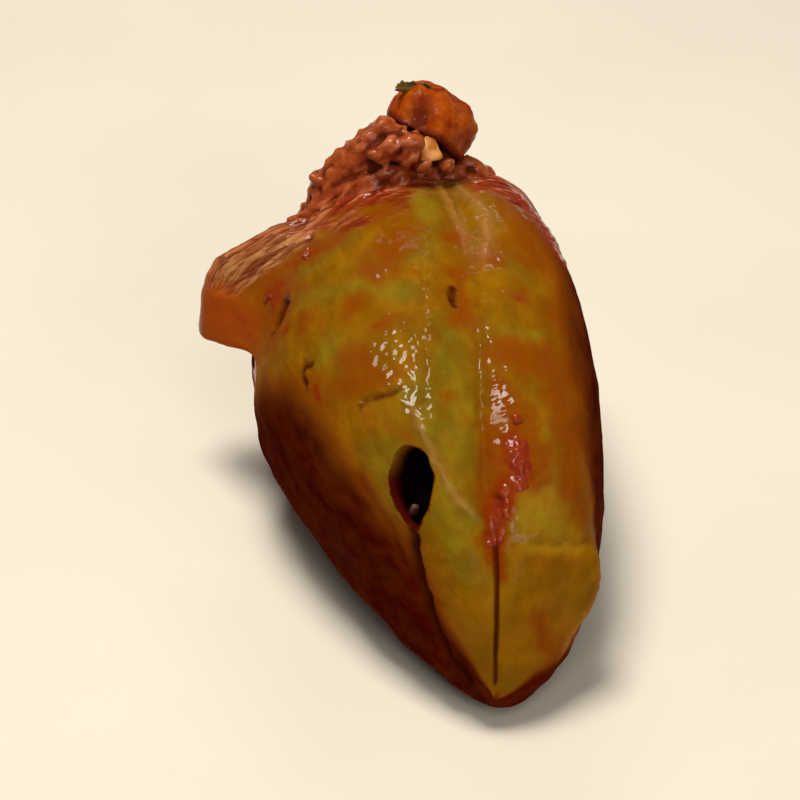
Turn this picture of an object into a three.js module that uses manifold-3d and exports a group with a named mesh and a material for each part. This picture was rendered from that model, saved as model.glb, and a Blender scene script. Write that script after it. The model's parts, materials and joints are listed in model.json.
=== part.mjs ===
// A stuffed bell pepper, cooked in tomato sauce and lying on its side: a hollow pepper with its
// stem end cut off, packed with minced meat, rice and onion that heaps out of the open mouth.
// Millimetres, +Z up. The blossom tip points along -Y, the open mouth along +Y, and the belly
// rests on the plane z = 0.

import * as THREE from "three";
import { mergeVertices } from "three/addons/utils/BufferGeometryUtils.js";
import Module from "manifold-3d";

const wasm = await Module();
wasm.setup();

// ---------------------------------------------------------------- driving dimensions

const LENGTH = 69; // blossom tip to the cut rim
const WALL = 2.8; // thickness of the cooked flesh
const TIP_WALL = 1.3; // the flesh is this many times thicker at the blossom end
const GAP = 0.3; // clearance between pieces that touch
const PACKING_GAP = 0.5; // clearance between the wall and the packed filling

// Half sizes of the body, measured from the tip's own line, with how far from the tip each is
// reached and how full (blunt) its quarter profile is.
const RIGHT = { size: 22.6, reach: 50, fullness: 2.1 };
const LEFT = { size: 21.5, reach: 50, fullness: 1.45 };
const TOP = { size: 36.8, reach: 56, fullness: 2.2 };
const BELLY = { size: 5.2, reach: 24, fullness: 2.4 };
const TIP_HEIGHT = 4;

const SECTION_POWER = 2.35; // superellipse of a cross-section
const ROOF_POWER = 1.7; // its upper left quarter at the mouth, which falls away like a roof
const NARROWING = { right: 0.05, left: 0.16 }; // share lost towards the mouth

// Relief of the skin. Angles are degrees round the section, lengths are from the tip.
const CREASE = { end: 58, swing: 48, fade: 45, width: 9, depth: 1, frontDepth: 0.9, from: 11 };
const RIGHT_LOBE = { at: 36, width: 26, height: 2.9, from: 22, full: 62 };
const KNOB = { at: 14, width: 30, height: 2.3, from: 7.8, spread: 3.6 };
const FLAT = { at: 148, width: 26, depth: 0.8, from: 9, spread: 9 };

// A teardrop hole in the skin over the left lobe. Its long way runs from `upper` to `lower`, and
// the filling behind it is hollow.
const HOLE = { centre: [15, 129], upper: [17.9, 122], lower: [11.6, 136.5] };
const HOLE_SIZE = { length: 10, width: 5.6 };
const HOLLOW = { halfLength: 6.2, halfWidth: 4.2, depth: 4.6 };

// The torn strip of wall on the left of the mouth leans out and droops, over a tear in the rim.
const STRIP = { upper: [130, 160], lower: [168, 174], from: 50, out: 8, droop: 5, sag: 156 };
const STRIP_LIFT = { at: 144, width: 18, height: 2.6 };
const TEAR = { at: 177, width: 6, depth: 14 };
const RIM_WAVES = [
  { count: 3, turn: 40, height: 0.5 },
  { count: 7, turn: 0, height: 0.35 },
];
const FOLLOW = 0.35; // how far the filling follows the strip

// The heap of filling in the mouth, which is highest over the top of the rim.
const HEAP = { middle: [0.5, 67, 20], bulge: 6, lift: 11, lean: 3, at: 84, right: 34, left: 54 };
const CRAGS = { count: 5, swirl: 9, height: 0.9 };
const CRUMB = { size: 1.75, riceLength: 5.6, riceWidth: 2 };
const CRUMBS_IN_MOUTH = 84;
const CRUMBS_OVER_RIM = { count: 30, from: 44, to: 158, inward: 0.15 };

// The curled onion petal that is draped over the top of the heap: a cap of an ellipsoid, made
// boxy from the front by a power above 2.
const PETAL = { centre: [6.6, 71, 44.5], radii: [6.5, 5.4, 6.8], thickness: 1.7, open: 92 };
const PETAL_POWER = 3;
const PETAL_LEAN = { front: -24, right: 40 };

// Fineness of the meshes.
const WALL_COLUMNS = 60; // points round a cross-section
const FILLING_COLUMNS = 40;
const OUTER_ROWS = 24;
const INNER_ROWS = 11;
const HEAP_ROWS = 8;
const PETAL_ROWS = 6;
const PETAL_COLUMNS = 18;

// ---------------------------------------------------------------- form of the pepper

const clamp01 = (x) => Math.min(1, Math.max(0, x));
const degrees = (angle) => (angle * Math.PI) / 180;

function smooth(x, from, to) {
  const t = clamp01((x - from) / (to - from));
  return t * t * (3 - 2 * t);
}

// A bell of height 1 round `at`, in degrees round the section.
function bell(angle, at, width, power = 2) {
  const away = ((((angle - at + 180) % 360) + 360) % 360) - 180;
  return Math.exp(-(Math.abs(away / width) ** power));
}

const pulse = (s, at, spread) => Math.exp(-(((s - at) / spread) ** 2));

// A quarter of a superellipse: 0 at the tip, 1 from `reach` on.
function rise(s, reach, fullness) {
  return (1 - (1 - clamp01(s / reach)) ** fullness) ** (1 / fullness);
}

const creaseAngle = (s) => CREASE.end + CREASE.swing * Math.exp(-s / CREASE.fade);

// How far the skin stands out of the plain section, in millimetres.
function relief(s, angle) {
  const crease = CREASE.depth + CREASE.frontDepth * pulse(s, CREASE.from, CREASE.from);
  return (
    RIGHT_LOBE.height * smooth(s, RIGHT_LOBE.from, RIGHT_LOBE.full) *
      bell(angle, RIGHT_LOBE.at, RIGHT_LOBE.width) +
    KNOB.height * pulse(s, KNOB.from, KNOB.spread) * bell(angle, KNOB.at, KNOB.width) -
    FLAT.depth * pulse(s, FLAT.from, FLAT.spread) * bell(angle, FLAT.at, FLAT.width) -
    crease * bell(angle, creaseAngle(s), CREASE.width)
  );
}

// How far a point belongs to the torn strip, from 0 to 1 at its free end.
function stripShare(s, angle) {
  const across = smooth(angle, ...STRIP.upper) * (1 - smooth(angle, ...STRIP.lower));
  return across * smooth(s, STRIP.from, LENGTH) ** 1.3;
}

// A point at distance s from the tip and `angle` degrees round the section, where 0 is the
// right and 90 the top. `inset` takes the surface in from the skin, and `follow` is how far it
// goes with the torn strip.
function surface(s, angle, inset = 0, follow = 1) {
  const start = inset * TIP_WALL;
  const size = (part) =>
    (part.size - inset) * rise(s - start, part.reach - start, part.fullness);
  const narrowing = smooth(s, 40, 74);
  const right = size(RIGHT) * (1 - NARROWING.right * narrowing);
  const left = size(LEFT) * (1 - NARROWING.left * narrowing);
  const high = TIP_HEIGHT + size(TOP);
  const low = TIP_HEIGHT - size(BELLY);
  const [centreX, halfWidth] = [(right - left) / 2, Math.max((right + left) / 2, 1e-6)];
  const [centreZ, halfHeight] = [(high + low) / 2, Math.max((high - low) / 2, 1e-6)];

  const [c, d] = [Math.cos(degrees(angle)), Math.sin(degrees(angle))];
  const roof = c < 0 && d > 0 ? smooth(s, 28, 66) : 0;
  const power = SECTION_POWER - (SECTION_POWER - ROOF_POWER) * roof;
  const section = Math.abs(c / halfWidth) ** power + Math.abs(d / halfHeight) ** power;
  const radius = section ** (-1 / power) + relief(s, angle) * smooth(s - start, 0, 6);

  const strip = follow * stripShare(s, angle);
  const droop = STRIP.droop * smooth(angle, STRIP.sag, STRIP.lower[0]);
  const lifted = bell(angle, STRIP_LIFT.at, STRIP_LIFT.width) * smooth(s, STRIP.from, LENGTH);
  const lift = follow * STRIP_LIFT.height * lifted;
  return new THREE.Vector3(
    centreX + radius * c - STRIP.out * strip,
    s,
    Math.max(inset, centreZ + radius * d - droop * strip + lift),
  );
}

// Where the wall is cut off, as a distance from the tip: a hand-cut, slightly wavy rim.
function rimAt(angle) {
  const wavy = RIM_WAVES.reduce(
    (sum, wave) => sum + wave.height * Math.sin(degrees(wave.count * angle + wave.turn)),
    LENGTH,
  );
  return wavy - TEAR.depth * bell(angle, TEAR.at, TEAR.width);
}

// ---------------------------------------------------------------- solids

// A table of rows by columns points, from a function of the row and the angle of the column.
function rings(rows, columns, pointAt) {
  return Array.from({ length: rows }, (_, i) =>
    Array.from({ length: columns }, (_, j) => pointAt(i, (360 * j) / columns)),
  );
}

// A closed solid from rings of points between two poles. The rings run outwards from the
// first pole, each anticlockwise as seen from it.
function ringSolid(firstPole, rows, lastPole) {
  const points = [firstPole, ...rows.flat(), lastPole];
  const columns = rows[0].length;
  const last = points.length - 1;
  const id = (ring, column) => 1 + ring * columns + (column % columns);
  const faces = [];
  for (let j = 0; j < columns; j++) {
    faces.push(0, id(0, j), id(0, j + 1));
    for (let i = 0; i + 1 < rows.length; i++) {
      const [a, b, c, d] = [id(i, j), id(i + 1, j), id(i + 1, j + 1), id(i, j + 1)];
      if (points[a].distanceTo(points[c]) < points[b].distanceTo(points[d])) {
        faces.push(a, b, c, a, c, d);
      } else {
        faces.push(a, b, d, b, c, d);
      }
    }
    faces.push(last, id(rows.length - 1, j + 1), id(rows.length - 1, j));
  }
  return new wasm.Manifold(
    new wasm.Mesh({
      numProp: 3,
      vertProperties: new Float32Array(points.flatMap((p) => [p.x, p.y, p.z])),
      triVerts: new Uint32Array(faces),
    }),
  );
}

// A closed three.js geometry as a solid.
function solidOf(geometry) {
  geometry.deleteAttribute("normal");
  geometry.deleteAttribute("uv");
  const merged = mergeVertices(geometry, 1e-4);
  return new wasm.Manifold(
    new wasm.Mesh({
      numProp: 3,
      vertProperties: merged.attributes.position.array,
      triVerts: new Uint32Array(merged.index.array),
    }),
  );
}

// The vertices and triangles of a solid's largest shell. Scraps that a cut leaves loose and
// bubbles that joining seals are left out.
function mainShell(solid) {
  const { vertProperties, triVerts } = solid.getMesh();
  const leader = Array.from({ length: vertProperties.length / 3 }, (_, i) => i);
  const find = (i) => {
    while (leader[i] !== i) {
      leader[i] = leader[leader[i]];
      i = leader[i];
    }
    return i;
  };
  for (let i = 0; i < triVerts.length; i += 3) {
    leader[find(triVerts[i])] = find(triVerts[i + 1]);
    leader[find(triVerts[i + 1])] = find(triVerts[i + 2]);
  }
  const shells = new Map();
  for (let i = 0; i < triVerts.length; i += 3) {
    const shell = find(triVerts[i]);
    if (!shells.has(shell)) shells.set(shell, []);
    shells.get(shell).push(...triVerts.slice(i, i + 3));
  }
  const largest = [...shells.values()].sort((a, b) => b.length - a.length)[0];
  const fresh = new Map();
  const positions = [];
  const index = largest.map((v) => {
    if (!fresh.has(v)) {
      fresh.set(v, fresh.size);
      positions.push(...vertProperties.slice(3 * v, 3 * v + 3));
    }
    return fresh.get(v);
  });
  return { positions, index };
}

function meshOf(name, solid, material) {
  const { positions, index } = mainShell(solid);
  const geometry = new THREE.BufferGeometry();
  geometry.setAttribute("position", new THREE.Float32BufferAttribute(positions, 3));
  geometry.setIndex(index);
  geometry.computeVertexNormals();
  const mesh = new THREE.Mesh(geometry, material);
  mesh.name = name;
  return mesh;
}

// Rings of the surface at `inset`, from just past its own tip to `short` of the rim. They
// crowd towards the tip, where the form turns fastest.
function surfaceRings(rows, columns, inset, short = 0, follow = 1) {
  const start = inset * TIP_WALL;
  return rings(rows, columns, (i, angle) => {
    const end = rimAt(angle) - short;
    return surface(start + (end - start) * ((i + 1) / rows) ** 1.6, angle, inset, follow);
  });
}

const tipOf = (inset) => new THREE.Vector3(0, inset * TIP_WALL, Math.max(TIP_HEIGHT, inset));

// The hollow wall. `grow` makes it thicker on every side, as the room that it needs.
function wallSolid(grow = 0) {
  const outer = surfaceRings(OUTER_ROWS, WALL_COLUMNS, -grow, -grow);
  const inner = surfaceRings(INNER_ROWS, WALL_COLUMNS, WALL + grow, -grow);
  const crown = outer.at(-1).map((point, j) => {
    const middle = point.clone().lerp(inner.at(-1)[j], 0.5);
    middle.y += 0.15 * WALL;
    return middle;
  });
  return ringSolid(tipOf(-grow), [...outer, crown, ...inner.reverse()], tipOf(WALL + grow));
}

// A frame on the skin at the hole: X runs down its long way, Y across it and Z out of the skin.
function holeFrame() {
  const [s, angle] = HOLE.centre;
  const down = surface(...HOLE.lower).sub(surface(...HOLE.upper));
  const round = surface(s, angle + 4).sub(surface(s, angle - 4));
  const out = surface(s + 2, angle).sub(surface(s - 2, angle)).cross(round).normalize();
  const across = out.clone().cross(down).normalize();
  const along = across.clone().cross(out);
  return new THREE.Matrix4().makeBasis(along, across, out).setPosition(surface(s, angle));
}

// A teardrop prism through the skin, with its round end up and its point down.
function holeSolid() {
  const points = 22;
  const widest = 0.77; // the largest value of sin(a) * sin(a / 2)
  const outline = Array.from({ length: points }, (_, k) => {
    const a = (2 * Math.PI * k) / points;
    return new THREE.Vector2(
      (HOLE_SIZE.length / 2) * Math.cos(a),
      (HOLE_SIZE.width / 2 / widest) * Math.sin(a) * Math.sin(a / 2),
    );
  });
  const depth = 3 * WALL;
  const prism = new THREE.ExtrudeGeometry(new THREE.Shape(outline), {
    depth,
    bevelEnabled: false,
  });
  prism.translate(0, 0, -0.6 * depth);
  return solidOf(prism.applyMatrix4(holeFrame()));
}

// ---------------------------------------------------------------- filling

// A repeatable number from 0 to 1 for piece k, with its own value for each salt.
function draw(k, salt) {
  const x = Math.sin(k * 12.9898 + salt * 78.233) * 43758.5453;
  return x - Math.floor(x);
}

// The heap's surface over the mouth: `inward` runs from 0 at the rim to 1 in the middle.
function heapPoint(angle, inward) {
  const edge = surface(rimAt(angle) - 1, angle, WALL + PACKING_GAP, FOLLOW);
  const turn = (inward * Math.PI) / 2;
  const point = new THREE.Vector3(...HEAP.middle).lerp(edge, Math.cos(turn));
  const swell = Math.sin(Math.PI * inward ** 0.6); // steep at the rim, nothing in the middle
  const spread = angle < HEAP.at || angle > HEAP.at + 180 ? HEAP.right : HEAP.left;
  const heaped = swell * bell(angle, HEAP.at, spread);
  const crag = CRAGS.height * swell * Math.sin(degrees(CRAGS.count * angle) + CRAGS.swirl * inward);
  point.y += HEAP.bulge * Math.sin(turn) + HEAP.lean * heaped + crag;
  point.z += HEAP.lift * heaped - 0.6 * crag;
  return point;
}

function coreSolid() {
  const inset = WALL + PACKING_GAP;
  const packed = surfaceRings(INNER_ROWS, FILLING_COLUMNS, inset, 1, FOLLOW);
  const heap = rings(HEAP_ROWS, FILLING_COLUMNS, (i, angle) =>
    heapPoint(angle, (i + 1) / (HEAP_ROWS + 1)),
  );
  return ringSolid(tipOf(inset), [...packed, ...heap], heapPoint(0, 1));
}

// The places of the crumbs: spread over the mouth by the golden angle, and along the top of
// the rim, where the heap runs over.
function crumbPlaces() {
  const golden = 180 * (3 - Math.sqrt(5));
  const inMouth = Array.from({ length: CRUMBS_IN_MOUTH }, (_, k) => {
    const outward = 0.99 * Math.sqrt((k + 0.5) / CRUMBS_IN_MOUTH);
    return heapPoint((k * golden) % 360, (Math.acos(outward) * 2) / Math.PI);
  });
  const { count, from, to, inward } = CRUMBS_OVER_RIM;
  const overRim = Array.from({ length: count }, (_, k) =>
    heapPoint(from + ((to - from) * (k + draw(k, 7))) / count, inward * draw(k, 8)),
  );
  return [...inMouth, ...overRim];
}

// A lump of mince, or for every fifth place a grain of rice.
function crumbSolid(place, k) {
  const crumb = new THREE.IcosahedronGeometry(1, 0);
  if (k % 5 === 1) {
    crumb.scale(CRUMB.riceLength / 2, CRUMB.riceWidth / 2, CRUMB.riceWidth / 2);
  } else {
    const size = CRUMB.size * (0.7 + 0.75 * draw(k, 1));
    crumb.scale(size, size * (0.7 + 0.3 * draw(k, 2)), size * (0.65 + 0.3 * draw(k, 3)));
  }
  crumb.rotateX(2 * Math.PI * draw(k, 4));
  crumb.rotateY(2 * Math.PI * draw(k, 5));
  crumb.rotateZ(2 * Math.PI * draw(k, 6));
  crumb.translate(place.x, place.y, place.z);
  return solidOf(crumb);
}

// What shows through the hole in the skin is a hollow in the filling.
function hollowSolid() {
  const hollow = new THREE.SphereGeometry(1, 12, 8);
  hollow.scale(HOLLOW.halfLength, HOLLOW.halfWidth, HOLLOW.depth);
  hollow.translate(0, 0, -WALL - PACKING_GAP);
  return solidOf(hollow.applyMatrix4(holeFrame()));
}

// ---------------------------------------------------------------- onion petal

// A curled petal, leaning to the back and the right. `grow` makes it thicker on every side.
function petalSolid(grow = 0) {
  const lean = new THREE.Euler(degrees(PETAL_LEAN.front), degrees(PETAL_LEAN.right), 0);
  const radii = new THREE.Vector3(...PETAL.radii).addScalar(grow);
  const thickness = PETAL.thickness + 2 * grow;
  const at = (shrink, down, round) => {
    const side = Math.sin(down);
    const point = new THREE.Vector3(side * Math.cos(round), side * Math.sin(round), Math.cos(down));
    const flat = Math.abs(point.x) ** PETAL_POWER + Math.abs(point.z) ** PETAL_POWER;
    const boxy = 1 / Math.sqrt(flat ** (2 / PETAL_POWER) + point.y ** 2);
    return point
      .multiply(radii.clone().subScalar(shrink).multiplyScalar(boxy))
      .applyEuler(lean)
      .add(new THREE.Vector3(...PETAL.centre));
  };
  const step = (degrees(PETAL.open) + grow / radii.z) / PETAL_ROWS;
  const side = (shrink) =>
    rings(PETAL_ROWS, PETAL_COLUMNS, (i, angle) => at(shrink, step * (i + 1), degrees(angle)));
  const around = [...side(0), ...side(thickness).reverse()];
  return ringSolid(at(0, 0, 0), around, at(thickness, 0, 0));
}

// ---------------------------------------------------------------- assembly

const flesh = new THREE.MeshStandardMaterial({
  name: "pepper_flesh",
  color: 0x8f7a12,
  roughness: 0.3,
  metalness: 0,
});
const stuffing = new THREE.MeshStandardMaterial({
  name: "mince_and_rice",
  color: 0x7a3014,
  roughness: 0.45,
  metalness: 0,
});
const onion = new THREE.MeshStandardMaterial({
  name: "stewed_onion",
  color: 0xa5521a,
  roughness: 0.3,
  metalness: 0,
});

const wall = wallSolid().subtract(holeSolid());
const filling = crumbPlaces()
  .map(crumbSolid)
  .reduce((heap, crumb) => heap.add(crumb), coreSolid())
  .subtract(wallSolid(GAP))
  .subtract(hollowSolid())
  .subtract(petalSolid(GAP));

const pepper = new THREE.Group();
pepper.name = "stuffed_pepper";
pepper.add(
  meshOf("pepper_wall", wall, flesh),
  meshOf("filling", filling, stuffing),
  meshOf("onion_petal", petalSolid(), onion),
);

// The origin is in the plane that the pepper rests on, under the middle of its box.
const box = new THREE.Box3().setFromObject(pepper);
const middle = box.getCenter(new THREE.Vector3());
pepper.position.set(-middle.x, -middle.y, -box.min.z);

export default pepper;
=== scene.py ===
"""A cooked stuffed pepper: glazed skin with a split and a hole, minced filling with rice and
onion heaped in the mouth, and the tomato sauce that clings to it. Sizes are in millimetres
until a mesh is made, and a place on the skin is (s, angle): the distance from the blossom tip
and the degrees round the section, where 0 is the right, 90 the top and 180 the left."""

import json
import math
from collections import namedtuple

import bmesh
import bpy
import numpy as np
from mathutils import Euler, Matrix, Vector, kdtree

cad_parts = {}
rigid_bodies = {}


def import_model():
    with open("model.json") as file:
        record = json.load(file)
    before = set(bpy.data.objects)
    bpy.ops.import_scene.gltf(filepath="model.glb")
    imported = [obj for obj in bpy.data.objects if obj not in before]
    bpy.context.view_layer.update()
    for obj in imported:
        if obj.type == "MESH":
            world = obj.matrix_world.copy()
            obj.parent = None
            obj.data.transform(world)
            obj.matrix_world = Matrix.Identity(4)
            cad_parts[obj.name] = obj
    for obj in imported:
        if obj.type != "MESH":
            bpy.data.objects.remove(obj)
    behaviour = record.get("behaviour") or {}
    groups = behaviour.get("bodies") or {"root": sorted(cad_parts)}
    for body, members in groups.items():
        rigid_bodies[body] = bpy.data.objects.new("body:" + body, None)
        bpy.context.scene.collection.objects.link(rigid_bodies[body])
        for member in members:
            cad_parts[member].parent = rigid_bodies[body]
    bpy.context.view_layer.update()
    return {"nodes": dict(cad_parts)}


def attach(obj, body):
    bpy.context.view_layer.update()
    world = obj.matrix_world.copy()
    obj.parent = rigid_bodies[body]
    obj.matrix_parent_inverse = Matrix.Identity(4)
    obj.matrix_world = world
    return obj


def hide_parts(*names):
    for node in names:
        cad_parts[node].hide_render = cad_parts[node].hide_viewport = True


bl_info = {
    "name": "Stuffed Pepper",
    "version": (1, 0, 0),
    "blender": (4, 5, 0),
    "location": "3D View > Sidebar > Pepper",
    "description": "Builds a cooked stuffed pepper with its filling, onion curl and sauce",
    "category": "Add Mesh",
}

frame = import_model()
MM = 0.001

# ------------------------------------------------------------------ form of the pepper

Quarter = namedtuple("Quarter", "size reach fullness")

LENGTH = 69  # blossom tip to the cut rim
WALL = 2.8  # thickness of the cooked flesh
TIP_WALL = 1.3  # the flesh is this many times thicker at the blossom end
PACKING_GAP = 0.5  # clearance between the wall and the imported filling
RIGHT = Quarter(22.6, 50, 2.1)
LEFT = Quarter(21.5, 50, 1.45)
TOP = Quarter(36.8, 56, 2.2)
BELLY = Quarter(5.2, 24, 2.4)
TIP_HEIGHT = 4
SECTION_POWER = 2.35  # superellipse of a cross-section
ROOF_POWER = 1.7  # its upper left quarter at the mouth, which falls away like a roof
ROOF = (28, 66)  # where the roof starts and where it is full, from the tip
NARROWING = {"right": 0.05, "left": 0.16}  # share lost towards the mouth
NARROWS = (40, 74)  # where the narrowing starts and where it is full
FORMS_FROM = 6  # millimetres from the tip over which the lobes and the crease come in
CREASE = {"end": 58, "swing": 48, "fade": 45, "width": 9, "depth": 1, "front": 0.9, "at": 11}
RIGHT_LOBE = {"at": 36, "width": 26, "height": 2.9, "start": 22, "full": 62}
KNOB = {"at": 14, "width": 30, "height": 2.3, "s": 7.8, "spread": 3.6}
FLAT = {"at": 148, "width": 26, "depth": 0.8, "s": 9, "spread": 9}
HOLE = {"centre": (15, 129), "upper": (17.9, 122), "lower": (11.6, 136.5)}
HOLE_SIZE = (10, 5.6)  # long and short way of the teardrop
HOLE_POINT = 0.4  # how pointed its lower end is
HOLLOW = {"half_length": 6.2, "half_width": 4.2, "depth": 4.6}
STRIP = {"upper": (130, 160), "lower": (168, 174), "start": 50, "out": 8, "droop": 5, "sag": 156}
STRIP_LIFT = {"at": 144, "width": 18, "height": 2.6}
TEAR = {"at": 177, "width": 6, "depth": 14}
RIM_WAVES = ((3, 40, 0.5), (7, 0, 0.35))  # count round the rim, turn and height
FOLLOW = 0.35  # how far the filling follows the torn strip
HEAP = {"middle": (0.5, 67, 20), "bulge": 6, "lift": 11, "lean": 3, "at": 84}
HEAP_SPREAD = {"right": 34, "left": 54}
CRAGS = {"count": 5, "swirl": 9, "height": 0.9}
PETAL = {"centre": (6.6, 71, 44.5), "radii": (6.5, 5.4, 6.8), "thickness": 1.7, "open": 92}
PETAL_POWER = 3  # how boxy its outline is, seen from the front
PETAL_LEAN = (-24, 40, 0)  # degrees to the front, to the right and round


def row_shift():
    """From the pepper's own frame to the row's: the tip of the wall is where it starts."""
    mesh = frame["nodes"]["pepper_wall"].data
    tip = min((vertex.co for vertex in mesh.vertices), key=lambda co: co.y)
    return np.array(tip) / MM - (0, 0, TIP_HEIGHT)


SHIFT = row_shift()


def smooth(x, start, end):
    t = np.clip((np.asarray(x, float) - start) / (end - start), 0, 1)
    return t * t * (3 - 2 * t)


def bell(angle, at, width, power=2):
    """A bell of height 1 round `at`, in degrees round the section."""
    away = (np.asarray(angle, float) - at + 180) % 360 - 180
    return np.exp(-(np.abs(away / width) ** power))


def pulse(s, at, spread):
    return np.exp(-(((s - at) / spread) ** 2))


def rise(s, reach, fullness):
    """A quarter of a superellipse: 0 at the tip, 1 from `reach` on."""
    return (1 - (1 - np.clip(s / reach, 0, 1)) ** fullness) ** (1 / fullness)


def crease_angle(s):
    return CREASE["end"] + CREASE["swing"] * np.exp(-s / CREASE["fade"])


def relief(s, angle):
    """How far the lobes and the crease between them stand out of the plain section."""
    lobe = RIGHT_LOBE["height"] * smooth(s, RIGHT_LOBE["start"], RIGHT_LOBE["full"])
    knob = KNOB["height"] * pulse(s, KNOB["s"], KNOB["spread"])
    flat = FLAT["depth"] * pulse(s, FLAT["s"], FLAT["spread"])
    crease = CREASE["depth"] + CREASE["front"] * pulse(s, CREASE["at"], CREASE["at"])
    return (
        lobe * bell(angle, RIGHT_LOBE["at"], RIGHT_LOBE["width"])
        + knob * bell(angle, KNOB["at"], KNOB["width"])
        - flat * bell(angle, FLAT["at"], FLAT["width"])
        - crease * bell(angle, crease_angle(s), CREASE["width"])
    )


def strip_share(s, angle):
    """How far a place belongs to the torn strip, from 0 to 1 at its free end."""
    across = smooth(angle, *STRIP["upper"]) * (1 - smooth(angle, *STRIP["lower"]))
    return across * smooth(s, STRIP["start"], LENGTH) ** 1.3


def surface(s, angle, inset=0.0, follow=1.0):
    """Points of the skin, or of a surface `inset` under it, as an array of X, Y and Z."""
    s, angle = np.broadcast_arrays(np.asarray(s, float), np.asarray(angle, float))
    start = inset * TIP_WALL

    def size(part):
        return (part.size - inset) * rise(s - start, part.reach - start, part.fullness)

    narrowing = smooth(s, *NARROWS)
    right = size(RIGHT) * (1 - NARROWING["right"] * narrowing)
    left = size(LEFT) * (1 - NARROWING["left"] * narrowing)
    high = TIP_HEIGHT + size(TOP)
    low = TIP_HEIGHT - size(BELLY)
    centre_x, half_width = (right - left) / 2, np.maximum((right + left) / 2, 1e-6)
    centre_z, half_height = (high + low) / 2, np.maximum((high - low) / 2, 1e-6)

    c, d = np.cos(np.radians(angle)), np.sin(np.radians(angle))
    roof = np.where((c < 0) & (d > 0), smooth(s, *ROOF), 0)
    power = SECTION_POWER - (SECTION_POWER - ROOF_POWER) * roof
    section = np.abs(c / half_width) ** power + np.abs(d / half_height) ** power
    radius = section ** (-1 / power) + relief(s, angle) * smooth(s - start, 0, FORMS_FROM)

    strip = follow * strip_share(s, angle)
    droop = STRIP["droop"] * smooth(angle, STRIP["sag"], STRIP["lower"][0])
    lift = STRIP_LIFT["height"] * bell(angle, STRIP_LIFT["at"], STRIP_LIFT["width"])
    lift = follow * lift * smooth(s, STRIP["start"], LENGTH)
    x = centre_x + radius * c - STRIP["out"] * strip
    z = np.maximum(inset, centre_z + radius * d - droop * strip + lift)
    return np.stack([x, s, z], -1)


def rim_at(angle):
    """Where the wall is cut off, as a distance from the tip."""
    wavy = LENGTH + sum(
        height * np.sin(np.radians(count * angle + turn)) for count, turn, height in RIM_WAVES
    )
    return wavy - TEAR["depth"] * bell(angle, TEAR["at"], TEAR["width"])


def tip_of(inset):
    return np.array([0, inset * TIP_WALL, max(TIP_HEIGHT, inset)])


def heap_point(angle, inward):
    """The heap's surface over the mouth, from 0 at the rim to 1 in the middle."""
    angle, inward = np.broadcast_arrays(np.asarray(angle, float), np.asarray(inward, float))
    edge = surface(rim_at(angle) - 1, angle, WALL + PACKING_GAP, FOLLOW)
    turn = inward * math.pi / 2
    middle = np.array(HEAP["middle"], float)
    point = middle + (edge - middle) * np.cos(turn)[..., None]
    swell = np.sin(math.pi * inward**0.6)
    on_right = (angle < HEAP["at"]) | (angle > HEAP["at"] + 180)
    spread = np.where(on_right, HEAP_SPREAD["right"], HEAP_SPREAD["left"])
    heaped = swell * bell(angle, HEAP["at"], spread)
    wave = np.sin(np.radians(CRAGS["count"] * angle) + CRAGS["swirl"] * inward)
    crag = CRAGS["height"] * swell * wave
    point[..., 1] += HEAP["bulge"] * np.sin(turn) + HEAP["lean"] * heaped + crag
    point[..., 2] += HEAP["lift"] * heaped - 0.6 * crag
    return point


def hole_frame():
    """A frame on the skin at the hole: X down its long way, Y across it and Z out."""
    s, angle = HOLE["centre"]
    down = surface(*HOLE["lower"]) - surface(*HOLE["upper"])
    round_it = surface(s, angle + 4) - surface(s, angle - 4)
    out = np.cross(surface(s + 2, angle) - surface(s - 2, angle), round_it)
    out /= np.linalg.norm(out)
    across = np.cross(out, down)
    across /= np.linalg.norm(across)
    along = np.cross(across, out)
    return np.stack([along, across, out], 1), surface(s, angle)


def teardrop(points):
    """The hole's outline in its own plane, with the round end up."""
    length, width = HOLE_SIZE
    a = np.linspace(0, 2 * math.pi, points, endpoint=False)
    x = length / 2 * np.cos(a)
    y = np.sin(a) * np.abs(np.sin(a / 2)) ** HOLE_POINT
    y *= width / 2 / y.max()
    return np.stack([x, y, np.zeros_like(a)], -1)


# ------------------------------------------------------------------ noise and strokes


def lattice(cells, seed):
    """A repeatable number from -1 to 1 for every cell of a lattice."""
    mixed = cells[..., 0] * 73856093 ^ cells[..., 1] * 19349663 ^ cells[..., 2] * 83492791
    mixed = (mixed + seed * 40503) * 1274126177 & 0xFFFFFFFF
    mixed = ((mixed ^ (mixed >> 15)) * 2246822519) & 0xFFFFFFFF
    mixed = (mixed ^ (mixed >> 13)) & 0xFFFFFF
    return mixed / 0x7FFFFF - 1


def bumps(points, size, seed):
    """Smooth noise from about -1 to 1, with a bump every `size` millimetres."""
    scaled = points / size
    cells = np.floor(scaled).astype(np.int64)
    inside = scaled - cells
    ease = inside**3 * (inside * (inside * 6 - 15) + 10)
    total = 0.0
    for corner in np.ndindex(2, 2, 2):
        corner = np.array(corner)
        at = cells + corner
        away = inside - corner
        lean = sum(lattice(at, seed + 17 * axis) * away[..., axis] for axis in range(3))
        share = np.where(corner == 1, ease, 1 - ease).prod(-1)
        total = total + share * lean
    return np.clip(1.5 * total, -1, 1)


def layered(points, size, seed, layers=3):
    """Noise of several sizes, each half as large and half as strong as the one before."""
    return sum(bumps(points, size / 2**k, seed + k) / 2**k for k in range(layers))


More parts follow.
